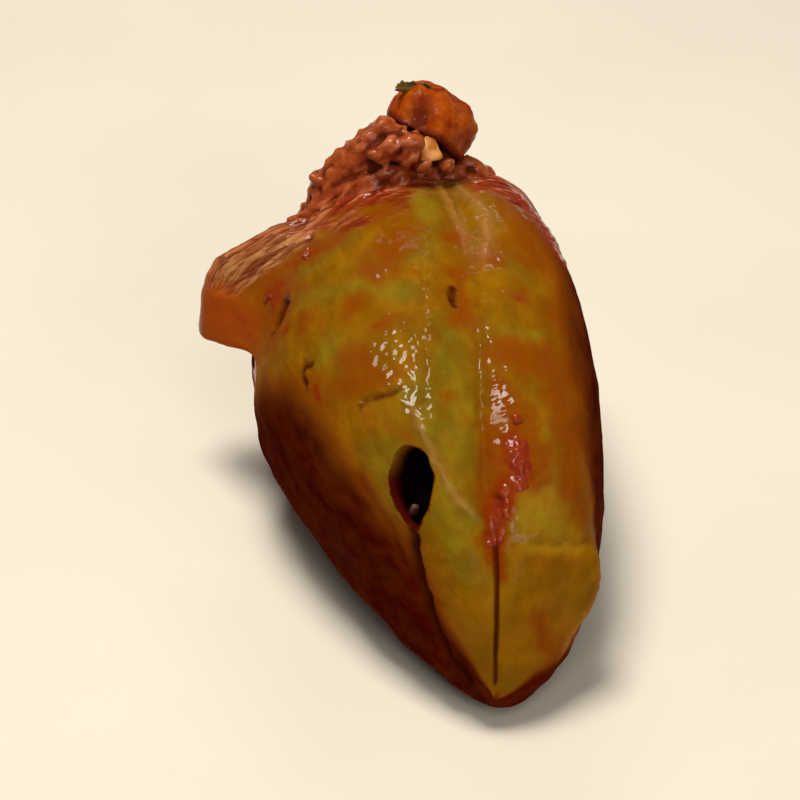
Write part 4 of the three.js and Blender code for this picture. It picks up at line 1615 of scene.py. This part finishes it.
def onion_material(colours):
    made, graph, shader = new_material("stewed_onion")
    spots = graph.use(blotches_group(), graph.place(), 3.2)
    small = graph.use(blotches_group(), graph.place(), 1.1)
    veins = graph.ramp(graph.mask("vein"), 0.2, 1.0)
    colour = graph.mix(spots["Mask"], colours.onion, colours.onion_red)
    colour = graph.paint(colour, veins, colours.onion_pale, 0.3)
    colour = graph.paint(colour, small["Mask"], colours.onion_red, 0.5)
    # The browned rim, with painted shade on the right side and in the fold.
    colour = graph.paint(colour, "edge", colours.onion_edge_and_shade)
    height = graph.use(wet_relief_group(), graph.place(), 0.9)["Height"]
    rough = graph.ramp(small["Fine"], 0.0, 1.0, 0.25, 0.45)
    surface_of = (colour, rough, height, 0.14, 0.14)
    finish_surface(graph, shader, *surface_of, subsurface_weight=0.2, specular_ior_level=0.02)
    return made


def sauce_material(colours):
    made, graph, shader = new_material("tomato_sauce")
    spots = graph.use(blotches_group(), graph.place(), 2.4)
    small = graph.use(blotches_group(), graph.place(), 0.8)
    colour = graph.mix(spots["Mask"], colours.sauce, colours.sauce_orange)
    colour = graph.paint(colour, small["Mask"], colours.sauce_dark, 0.35)
    height = graph.use(wet_relief_group(), graph.place(), 0.8)["Height"]
    rough = graph.ramp(small["Fine"], 0.0, 1.0, 0.16, 0.32)
    surface_of = (colour, rough, height, 0.06, 0.8)
    finish_surface(graph, shader, *surface_of, specular_ior_level=0.05, coat_roughness=0.05)
    return made


def floor_material(colours):
    made, graph, shader = new_material("pale_floor")
    spots = graph.use(blotches_group(), graph.place(), 60.0)
    shade = [0.97 * x for x in colours.floor]
    graph.feed(shader.inputs["Base Color"], graph.mix(spots["Mask"], colours.floor, shade))
    shader.inputs["Roughness"].default_value = 0.6
    return made


# ------------------------------------------------------------------ onion, crumbs and sauce

PETAL_ROWS = 56
PETAL_COLUMNS = 168
PETAL_FOLD = (3.95, 0.84)  # where the fold on its left is: radians round, share to the rim
FOLD_DEPTH = 2.3
PETAL_RIBS = 13


def at_fold(around, edge, wide, deep):
    """1 at the petal's fold, fading over `wide` radians round it and `deep` of the way down."""
    return np.exp(-(((around - PETAL_FOLD[0]) / wide) ** 2) - ((edge - PETAL_FOLD[1]) / deep) ** 2)


def petal_grid(shrink):
    """One face of the curled petal, boxy from the front, with a deep fold on its left. Returns
    its points, how near the rim and where round it each is, and its local coordinates."""
    lean = rotation(PETAL_LEAN)
    down = math.radians(PETAL["open"]) * np.arange(1, PETAL_ROWS + 1) / PETAL_ROWS
    around = np.linspace(0, 2 * math.pi, PETAL_COLUMNS, False)
    down, around = np.meshgrid(down, around, indexing="ij")
    edge = down / down.max()
    level = np.sin(down)
    unit = np.stack([level * np.cos(around), level * np.sin(around), np.cos(down)], -1)
    flat = np.abs(unit[..., 0]) ** PETAL_POWER + np.abs(unit[..., 2]) ** PETAL_POWER
    boxy = (flat ** (2 / PETAL_POWER) + unit[..., 1] ** 2) ** -0.5
    radii = [r - shrink * (1 - 0.45 * edge**3) for r in PETAL["radii"]]
    ribs = 0.07 * np.sin(PETAL_RIBS * around + 2.5 * np.sin(2 * around)) * np.sin(down)
    wave = 0.5 * edge**2 * np.sin(3 * around + 0.6) + 0.3 * edge**3 * np.sin(7 * around)
    tuck = -0.5 * edge**6
    fold = -FOLD_DEPTH * at_fold(around, edge, 0.26, 0.16)
    crest = 0.5 * np.exp(-(((around - 4.45) / 0.3) ** 2)) * smooth(edge, 0.3, 0.9)
    grown = 1 + (ribs + 0.4 * wave + tuck + fold * (shrink == 0) + crest) / PETAL["radii"][0]
    local = unit * boxy[..., None] * np.stack(radii, -1) * grown[..., None]
    local[..., 2] += 0.3 * wave
    points = local @ lean.T + PETAL["centre"]
    rough = 0.32 * layered(points, 2.6, 121) + 0.16 * bumps(points * (1, 1, 0.45), 1.1, 124)
    points = points + rough[..., None] * (unit @ lean.T)
    return points, edge, around, local


def petal_shell():
    """The curled petal, with how much of a vein and of a dark mark each vertex has: its browned rim,
    and painted shade on its right side and in its fold.
    """
    outer, edge, around, local = petal_grid(0)
    inner = petal_grid(PETAL["thickness"])[0]
    lean, top = rotation(PETAL_LEAN), PETAL["radii"][2]
    pole = lean @ (0, 0, top) + PETAL["centre"]
    under = lean @ (0, 0, top - PETAL["thickness"]) + PETAL["centre"]
    lip = (outer[-1] + inner[-1]) / 2 + 0.35 * normalised(outer[-1] - outer[-2])
    rings = np.concatenate([outer, lip[None], inner[::-1]])
    vein = np.abs(np.sin(5.5 * around + np.sin(2 * around))) ** 3
    veins = np.concatenate([[0], vein.ravel(), vein[-1], vein[::-1].ravel(), [0]])
    # Painted shade on the petal's right side and in its fold, besides its browned rim.
    side = 0.8 * smooth(local[..., 0], 2.8, 6.2) * smooth(edge, 0.35, 0.8)
    pit = at_fold(around, edge, 0.24, 0.13)
    dark = np.maximum(np.maximum(smooth(edge, 0.9, 1.0), side), 1.3 * pit).clip(0, 1)
    edges = np.concatenate([[0], dark.ravel(), dark[-1], np.ones(dark.size), [1]])
    return ring_shell(pole, rings, under), veins, edges


# Sauce that lies thick on the skin: lines as places, half width and thickness in millimetres.
CLOTS = (
    Line(((15.6, 77), (13.6, 76.5), (12, 79)), 1.5, 0.5),
    Line(((11.4, 87), (9.4, 91.5), (7.4, 95)), 1.0, 0.42),
    Line(((64, 44), (60, 39), (55, 35)), 2.6, 0.5),
)
BEADS = (  # place, spread in millimetres and how many beads of sauce lie there
    ((14.2, 76.5), 1.5, 22),
    ((9.6, 87), 1.1, 9),
    ((7.6, 92), 0.7, 4),
    ((18.5, 74), 1.1, 6),
    ((58.5, 131), 1.2, 6),
    ((57, 150), 1.0, 5),
)
BEAD_SIZES = (0.3, 0.7)  # radii in millimetres
SAUCE_NEEDED = 0.22  # the pools end where they would be thinner than this
SAUCE_EDGE, SAUCE_MOST = -0.12, 0.8  # least and most that the sauce stands out of the skin
SAUCE_ROOT = 0.5  # how deep its underside lies in the skin
SAUCE_FROM = 0.6  # least height over the ground


def beads(points):
    """Millimetres that small drops of sauce stand out of the skin."""
    pick = np.random.default_rng(139)
    made = np.full(points.shape[:-1], -1.0)
    for place, spread, count in BEADS:
        middle = surface(*place)
        for _ in range(count):
            along, across = spread * pick.uniform(-1.5, 1.5, 2) * pick.uniform(0.2, 1)
            drop = surface(place[0] + along, place[1] + math.degrees(across / middle[2]))
            radius = pick.uniform(*BEAD_SIZES)
            round_it = 1 - ((points - drop) ** 2).sum(-1) / radius**2
            made = np.maximum(made, 0.75 * radius * round_it)
    return made


def sauce_thickness(points):
    """Millimetres of sauce over each place of the skin, below 0 where there is none."""
    uneven = wobble(points, 0.4, 2.2, 131)
    drawn = [clot.height * stroke(uneven, clot.path, clot.width, 0) for clot in CLOTS]
    lumps = 0.5 * layered(points, 1.5, 136, 2) + 0.5 * bumps(points, 0.8, 138)
    pools = strongest(drawn) * (1 + lumps) - SAUCE_NEEDED
    return np.maximum(pools, beads(points))


def sauce_shell(skin, plain):
    """A closed shell of sauce over the finished skin."""
    thick = sauce_thickness(plain)
    normals = grid_normals(plain)
    top = skin + normals * np.clip(thick, SAUCE_EDGE, SAUCE_MOST)[..., None]
    under = skin - SAUCE_ROOT * normals
    kept = (thick > SAUCE_EDGE) & (skin[..., 2] > SAUCE_FROM)
    quads = grid_faces(*kept.shape)
    vertices, faces = closed_shell(top, under, quads[kept.reshape(-1)[quads].all(1)])
    used, fresh = np.unique(faces, return_inverse=True)
    return vertices[used], fresh.reshape(faces.shape).tolist()


PALE_BIT = {
    "centre": (6.2, 66.2, 45.4),
    "size": (1.9, 1.1, 1.7),
    "seed": 181,
    "lean": (-14, 4, 10),
    "taper": 0.7,
}
SCRAP = {"centre": (5.1, 72.4, 51.3), "half": (2.3, 0.8), "thickness": 0.3, "bend": 0.9}
# In the hole's own frame: down its long way, across it and out.
HOLE_DROP = {"place": (2.6, -1.3, -2.4), "size": (0.5, 0.5, 1.15), "lean": (30, 10, 0)}


def scrap_shell():
    """A thin curled scrap of green with ragged ends."""
    u, v = np.meshgrid(np.linspace(-1, 1, 41), np.linspace(-1, 1, 15), indexing="ij")
    ragged = 0.16 * np.sin(9 * u + 1) + 0.12 * np.sin(17 * u)
    x = SCRAP["half"][0] * u * (1 + 0.08 * np.sin(5 * v))
    y = -SCRAP["bend"] * u**2 + 0.3 * np.sin(3 * v + 2 * u)
    z = SCRAP["half"][1] * v * (1 - 0.35 * u**4 + ragged * (v > 0)) + 0.45 * u**2 - 0.25 * u
    middle = np.stack([x, y, z], -1)
    normal = sheet_normals(middle)
    rim = np.maximum(np.abs(u), np.abs(v))[..., None]
    half = SCRAP["thickness"] / 2 * (1 - 0.7 * rim**6)
    middle = middle + SCRAP["centre"]
    return sheet_shell(middle + half * normal, middle - half * normal)


def bit_mesh(name, centre, size, seed, lean, taper=0.0):
    """A soft-cornered bit of vegetable: a rounded box, tapered upwards and uneven."""
    box = bmesh.new()
    bmesh.ops.create_cube(box, size=2)
    bmesh.ops.subdivide_edges(box, edges=box.edges, cuts=11, use_grid_fill=True)
    mesh = bpy.data.meshes.new(name)
    box.to_mesh(mesh)
    box.free()
    local = np.array([vertex.co for vertex in mesh.vertices])
    rounded = local / (np.abs(local) ** 4).sum(-1, keepdims=True) ** 0.25
    rounded[:, :2] *= 1 - taper * (rounded[:, 2:] + 1) / 2
    shaped = rounded * size
    shaped = shaped + 0.18 * min(size) * layered(shaped, 1.4, seed)[:, None] * rounded
    set_points(mesh, shaped @ rotation(lean).T + centre)
    return mesh


# ------------------------------------------------------------------ settings


def colour_of(name, description, value):
    return bpy.props.FloatVectorProperty(
        name=name, description=description, default=value, subtype="COLOR", min=0, max=1
    )


def length_of(name, description, value):
    return bpy.props.FloatProperty(
        name=name, description=description, default=value, unit="LENGTH"
    )


class PEPPER_PG_colours(bpy.types.PropertyGroup):
    """Colours of the pepper's surfaces."""

    skin_gold: colour_of("Skin gold", "Plain cooked skin", (0.250, 0.103, 0.002))
    skin_olive: colour_of("Skin olive", "Greener patches of plain skin", (0.215, 0.100, 0.002))
    skin_green: colour_of("Skin green", "Skin between the lobes", (0.185, 0.130, 0.006))
    # Greener skin, also painted lighter as painted light over the knob's edge.
    skin_paler_and_lit: colour_of("Skin light", "Skin over the knob's edge", (0.30, 0.165, 0.008))
    skin_stain: colour_of("Skin stain", "Skin stained by the sauce", (0.208, 0.047, 0.001))
    # Darker sauce-stained skin, which also serves as painted shade on the flanks.
    skin_sauce_and_shade: colour_of("Skin deep", "Sauce-soaked skin low on the sides", (0.052, 0.002, 0.0004))
    # Dark marks, partly painted shade in the split's gap and the pits.
    scar: colour_of("Scar", "Splits, pits and seams", (0.06, 0.008, 0.001))
    # Dark cut edge of the hole, partly painted shade.
    hole: colour_of("Hole", "Cut edge of the hole", (0.05, 0.003, 0.0008))
    # Painted shade: near black for the filling seen through the hole.
    cave: colour_of("Cave", "Filling seen through the hole", (0.006, 0.0006, 0.0004))
    flesh: colour_of("Flesh", "Torn flesh of the wall", (0.46, 0.215, 0.08))
    flesh_stained: colour_of("Stained flesh", "Torn flesh with sauce in it", (0.27, 0.075, 0.018))
    # Orange of the strip's outer face, brightened as painted light.
    flap_and_light: colour_of("Flap", "Outer face of the torn strip", (0.37, 0.060, 0.004))
    sauce_film: colour_of("Sauce film", "Thin sauce on the skin", (0.22, 0.024, 0.001))
    sauce: colour_of("Sauce", "Thick tomato sauce", (0.235, 0.022, 0.005))
    sauce_orange: colour_of("Sauce orange", "Thin oily sauce", (0.27, 0.04, 0.005))
    sauce_dark: colour_of("Sauce dark", "Cooked-down sauce", (0.12, 0.010, 0.004))
    mince: colour_of("Mince", "Cooked minced meat", (0.30, 0.058, 0.010))
    # Oily mince, which also serves as painted light on the tops of the lumps.
    mince_oily_and_lit: colour_of("Light mince", "Mince with oily sauce", (0.38, 0.085, 0.016))
    mince_dark: colour_of("Dark mince", "Browned mince", (0.14, 0.022, 0.007))
    # Pale shreds, partly a painted sheen on the wet sauce.
    strand: colour_of("Strand", "Pale shreds in the sauce", (0.46, 0.125, 0.050))
    # Painted shade in the gaps between the lumps.
    mince_pit_shade: colour_of("Mince pit", "Gaps between the lumps", (0.062, 0.008, 0.002))
    rice: colour_of("Rice", "Rice stained by the sauce", (0.50, 0.24, 0.07))
    rice_pale: colour_of("Pale rice", "Rice that stayed pale", (0.58, 0.36, 0.15))
    onion: colour_of("Onion", "Stewed onion", (0.37, 0.064, 0.002))
    onion_red: colour_of("Red onion", "Onion with sauce on it", (0.20, 0.019, 0.003))
    onion_pale: colour_of("Pale onion", "Ribs of the onion", (0.42, 0.11, 0.015))
    # Browned edge, also painted shade on the petal's right side and in its fold.
    onion_edge_and_shade: colour_of("Onion edge", "Browned edge of the onion", (0.12, 0.014, 0.004))
    bit: colour_of("Onion bit", "Pale bit of onion under the petal", (0.78, 0.36, 0.10))
    bit_stained: colour_of("Stained bit", "Sauce on the pale bit", (0.50, 0.14, 0.015))
    clear: colour_of("Clear onion", "Onion at the rear of the heap", (0.52, 0.30, 0.11))
    clear_stained: colour_of("Stained clear onion", "Sauce on it", (0.36, 0.15, 0.04))
    herb: colour_of("Herb", "Cooked green scrap", (0.06, 0.05, 0.008))
    herb_light: colour_of("Light herb", "Lighter parts of the scrap", (0.14, 0.08, 0.015))
    drop: colour_of("Drop", "Pale drop that gleams in the hole", (0.17, 0.075, 0.06))
    drop_dark: colour_of("Dark drop", "Darker parts of the drop", (0.09, 0.02, 0.014))
    floor: colour_of("Floor", "Pale ground", (0.76, 0.70, 0.59))


class PEPPER_PG_sizes(bpy.types.PropertyGroup):
    """Sizes of the loose things in the filling."""

    lump: length_of("Lump", "Radius of a lump of mince", 1.25 * MM)
    lump_spacing: length_of("Lump spacing", "Least distance between lumps", 1.5 * MM)
    rice_spacing: length_of("Rice spacing", "Least distance between grains of rice", 7.5 * MM)
    dice_spacing: length_of("Dice spacing", "Least distance between dice of onion", 4.6 * MM)
    fleck_spacing: length_of("Fleck spacing", "Least distance between flecks of herb", 7 * MM)
    camera_distance: length_of("Camera distance", "From the camera to the pepper", 0.45)


# ------------------------------------------------------------------ operators


class PEPPER_OT_stage(bpy.types.Operator):
    """Makes the floor, the soft lights and the camera"""

    bl_idname = "pepper.stage"
    bl_label = "Stage"

    def execute(self, context):
        colours = context.scene.pepper_colours
        floor = new_object(
            "floor",
            new_mesh("floor", np.array(FLOOR_CORNERS), [(0, 1, 2, 3)], in_row=True),
            floor_material(colours),
        )
        for light in LIGHTS:
            make_light(*light)
        world = bpy.data.worlds.new("soft_room")
        world.use_nodes = True
        background = world.node_tree.nodes["Background"]
        background.inputs["Color"].default_value = (*ROOM_COLOUR, 1)
        background.inputs["Strength"].default_value = ROOM_STRENGTH
        context.scene.world = world
        context.scene.view_settings.view_transform = "Standard"
        make_camera(context.scene.pepper_sizes.camera_distance)
        return {"FINISHED"}


class PEPPER_OT_wall(bpy.types.Operator):
    """Makes the hollow wall of the pepper, with its hole, split and torn rim"""

    bl_idname = "pepper.wall"
    bl_label = "Pepper wall"

    def execute(self, context):
        (vertices, faces), outer, plain, s, angle = wall_shell()
        piece = new_object("pepper_body", new_mesh("pepper_body", vertices, faces))
        cut_hole(piece)
        read_masks(piece.data, outer, skin_masks(plain, s, angle))
        dress(piece.data, skin_material(context.scene.pepper_colours))
        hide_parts("pepper_wall")
        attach(piece, "root")
        return {"FINISHED"}


class PEPPER_OT_filling(bpy.types.Operator):
    """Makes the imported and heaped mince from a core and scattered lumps, melted together"""

    bl_idname = "pepper.filling"
    bl_label = "Filling"

    def execute(self, context):
        core = new_object("filling_core", new_mesh("filling_core", *core_shell()))
        add_lumps(core.data, context.scene.pepper_sizes)
        melt(core)
        core.name = "filling_mince"
        roughen(core.data)
        dress(core.data, filling_material(context.scene.pepper_colours))
        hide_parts("filling")
        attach(core, "root")
        return {"FINISHED"}


class PEPPER_OT_grains(bpy.types.Operator):
    """Scatters grains of rice, onion dice and herb flecks over the heap"""

    bl_idname = "pepper.grains"
    bl_label = "Rice and onion"

    def execute(self, context):
        sizes, colours = context.scene.pepper_sizes, context.scene.pepper_colours
        rice = grain_material("rice", colours.rice, colours.rice_pale)
        dice = grain_material("onion_dice", colours.rice_pale, colours.mince_oily_and_lit)
        herb = grain_material("herb", colours.herb, colours.scar, 0.5, 0.3)
        for name, material, spacing in (
            ("rice_grains", rice, sizes.rice_spacing),
            ("onion_dice", dice, sizes.dice_spacing),
            ("herb_flecks", herb, sizes.fleck_spacing),
        ):
            piece = scattered_grains(name, material, spacing)
            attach(piece, "root")
        return {"FINISHED"}


class PEPPER_OT_onion(bpy.types.Operator):
    """Makes the curled onion petal on top of the heap, the pale bit and the green scrap"""

    bl_idname = "pepper.onion"
    bl_label = "Onion curl"

    def execute(self, context):
        colours = context.scene.pepper_colours
        (vertices, faces), veins, edges = petal_shell()
        mesh = new_mesh("onion_curl", vertices, faces)
        set_mask(mesh, "vein", veins)
        set_mask(mesh, "edge", edges)
        curl = new_object("onion_curl", mesh, onion_material(colours))
        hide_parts("onion_petal")
        pale = grain_material("pale_onion", colours.bit, colours.bit_stained)
        green = grain_material("green_scrap", colours.herb, colours.herb_light, 0.5, 0.1)
        clear = grain_material("clear_onion", colours.clear, colours.clear_stained)
        bits = (
            ("rear_onion", rear_onion(), clear),
            ("onion_bit", bit_mesh("onion_bit", **PALE_BIT), pale),
            ("green_scrap", new_mesh("green_scrap", *scrap_shell()), green),
        )
        pieces = [curl]
        for name, mesh, material in bits:
            outward(mesh)
            pieces.append(new_object(name, mesh, material))
        for piece in pieces:
            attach(piece, "root")
        return {"FINISHED"}


class PEPPER_OT_sauce(bpy.types.Operator):
    """Makes the sauce that lies thick on the skin, and the pale drop in the hole"""

    bl_idname = "pepper.sauce"
    bl_label = "Tomato sauce"

    def execute(self, context):
        colours = context.scene.pepper_colours
        plain, s, angle = skin_grid()
        skin = with_fine_forms(plain, s, angle)
        mesh = new_mesh("skin_sauce", *sauce_shell(skin, plain))
        axes, centre = hole_frame()
        gleam = centre + axes @ HOLE_DROP["place"]
        drop = bit_mesh("hole_drop", gleam, HOLE_DROP["size"], 183, HOLE_DROP["lean"])
        pale = grain_material("hole_bit", colours.drop, colours.drop_dark)
        for name, made, finish in (
            ("skin_sauce", mesh, sauce_material(colours)),
            ("hole_drop", drop, pale),
        ):
            piece = new_object(name, made, finish)
            outward(piece.data)
            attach(piece, "root")
        return {"FINISHED"}


# ------------------------------------------------------------------ stage

FLOOR_CORNERS = ((-1.2, -1.2, 0), (1.2, -1.2, 0), (1.2, 1.2, 0), (-1.2, 1.2, 0))
LIT_POINT = (0, 0, 0.02)
LIGHTS = (  # name, place and size in metres, watts, tint
    ("key_light", (-0.08, 0.08, 0.63), (0.22, 0.22), 3.9, (1.0, 0.96, 0.88)),
    ("back_light", (0.15, 0.75, 0.5), (0.3, 0.12), 0.8, (1.0, 0.95, 0.9)),
    ("front_fill", (0.25, -0.8, 0.4), (0.5, 0.4), 2.4, (1.0, 0.96, 0.9)),
    ("front_top", (-0.05, -0.45, 0.55), (0.3, 0.3), 0.9, (1.0, 0.96, 0.9)),
)
ROOM_COLOUR = (1.0, 0.98, 0.95)
ROOM_STRENGTH = 0.1
CAMERA = {"target": (-2.34, 45.07, 20), "azimuth": -12, "elevation": 33, "lens": 154.1}


def stand_at(name, data, place, aim):
    """Puts a light or a camera in the scene, looking along `aim`."""
    holder = bpy.data.objects.new(name, data)
    bpy.context.scene.collection.objects.link(holder)
    holder.location = place
    holder.rotation_euler = aim.to_track_quat("-Z", "Y").to_euler()
    return holder


def make_light(name, place, size, watts, tint):
    lamp = bpy.data.lights.new(name, "AREA")
    lamp.shape = "RECTANGLE"
    lamp.size, lamp.size_y = size
    lamp.energy = watts
    lamp.color = tint
    stand_at(name, lamp, place, Vector(LIT_POINT) - Vector(place))


def make_camera(distance):
    """The camera looks at the pepper from the front, a little from its left and above."""
    a, e = math.radians(CAMERA["azimuth"]), math.radians(CAMERA["elevation"])
    back = Vector((math.sin(a) * math.cos(e), -math.cos(a) * math.cos(e), math.sin(e)))
    camera = bpy.data.cameras.new("camera")
    camera.lens = CAMERA["lens"]
    camera.sensor_width = 36
    place = Vector(to_row(CAMERA["target"])) + back * distance
    bpy.context.scene.camera = stand_at("camera", camera, place, -back)


class PEPPER_PT_panel(bpy.types.Panel):
    """Lists the steps that build the pepper"""

    bl_label = "Stuffed Pepper"
    bl_space_type = "VIEW_3D"
    bl_region_type = "UI"
    bl_category = "Pepper"

    def draw(self, context):
        for step in STEPS:
            self.layout.operator(step.bl_idname)
        for group in (context.scene.pepper_sizes, context.scene.pepper_colours):
            for name in group.bl_rna.properties.keys():
                if name not in ("rna_type", "name"):
                    self.layout.prop(group, name)


STEPS = (
    PEPPER_OT_stage,
    PEPPER_OT_wall,
    PEPPER_OT_filling,
    PEPPER_OT_grains,
    PEPPER_OT_onion,
    PEPPER_OT_sauce,
)
CLASSES = (PEPPER_PG_colours, PEPPER_PG_sizes, *STEPS, PEPPER_PT_panel)


def register():
    for item in CLASSES:
        bpy.utils.register_class(item)
    scene = bpy.types.Scene
    scene.pepper_colours = bpy.props.PointerProperty(type=PEPPER_PG_colours)
    scene.pepper_sizes = bpy.props.PointerProperty(type=PEPPER_PG_sizes)


def unregister():
    del bpy.types.Scene.pepper_colours
    del bpy.types.Scene.pepper_sizes
    for item in reversed(CLASSES):
        bpy.utils.unregister_class(item)


def main():
    register()
    for step in STEPS:
        group, name = step.bl_idname.split(".")
        getattr(getattr(bpy.ops, group), name)()


if __name__ == "__main__":
    main()
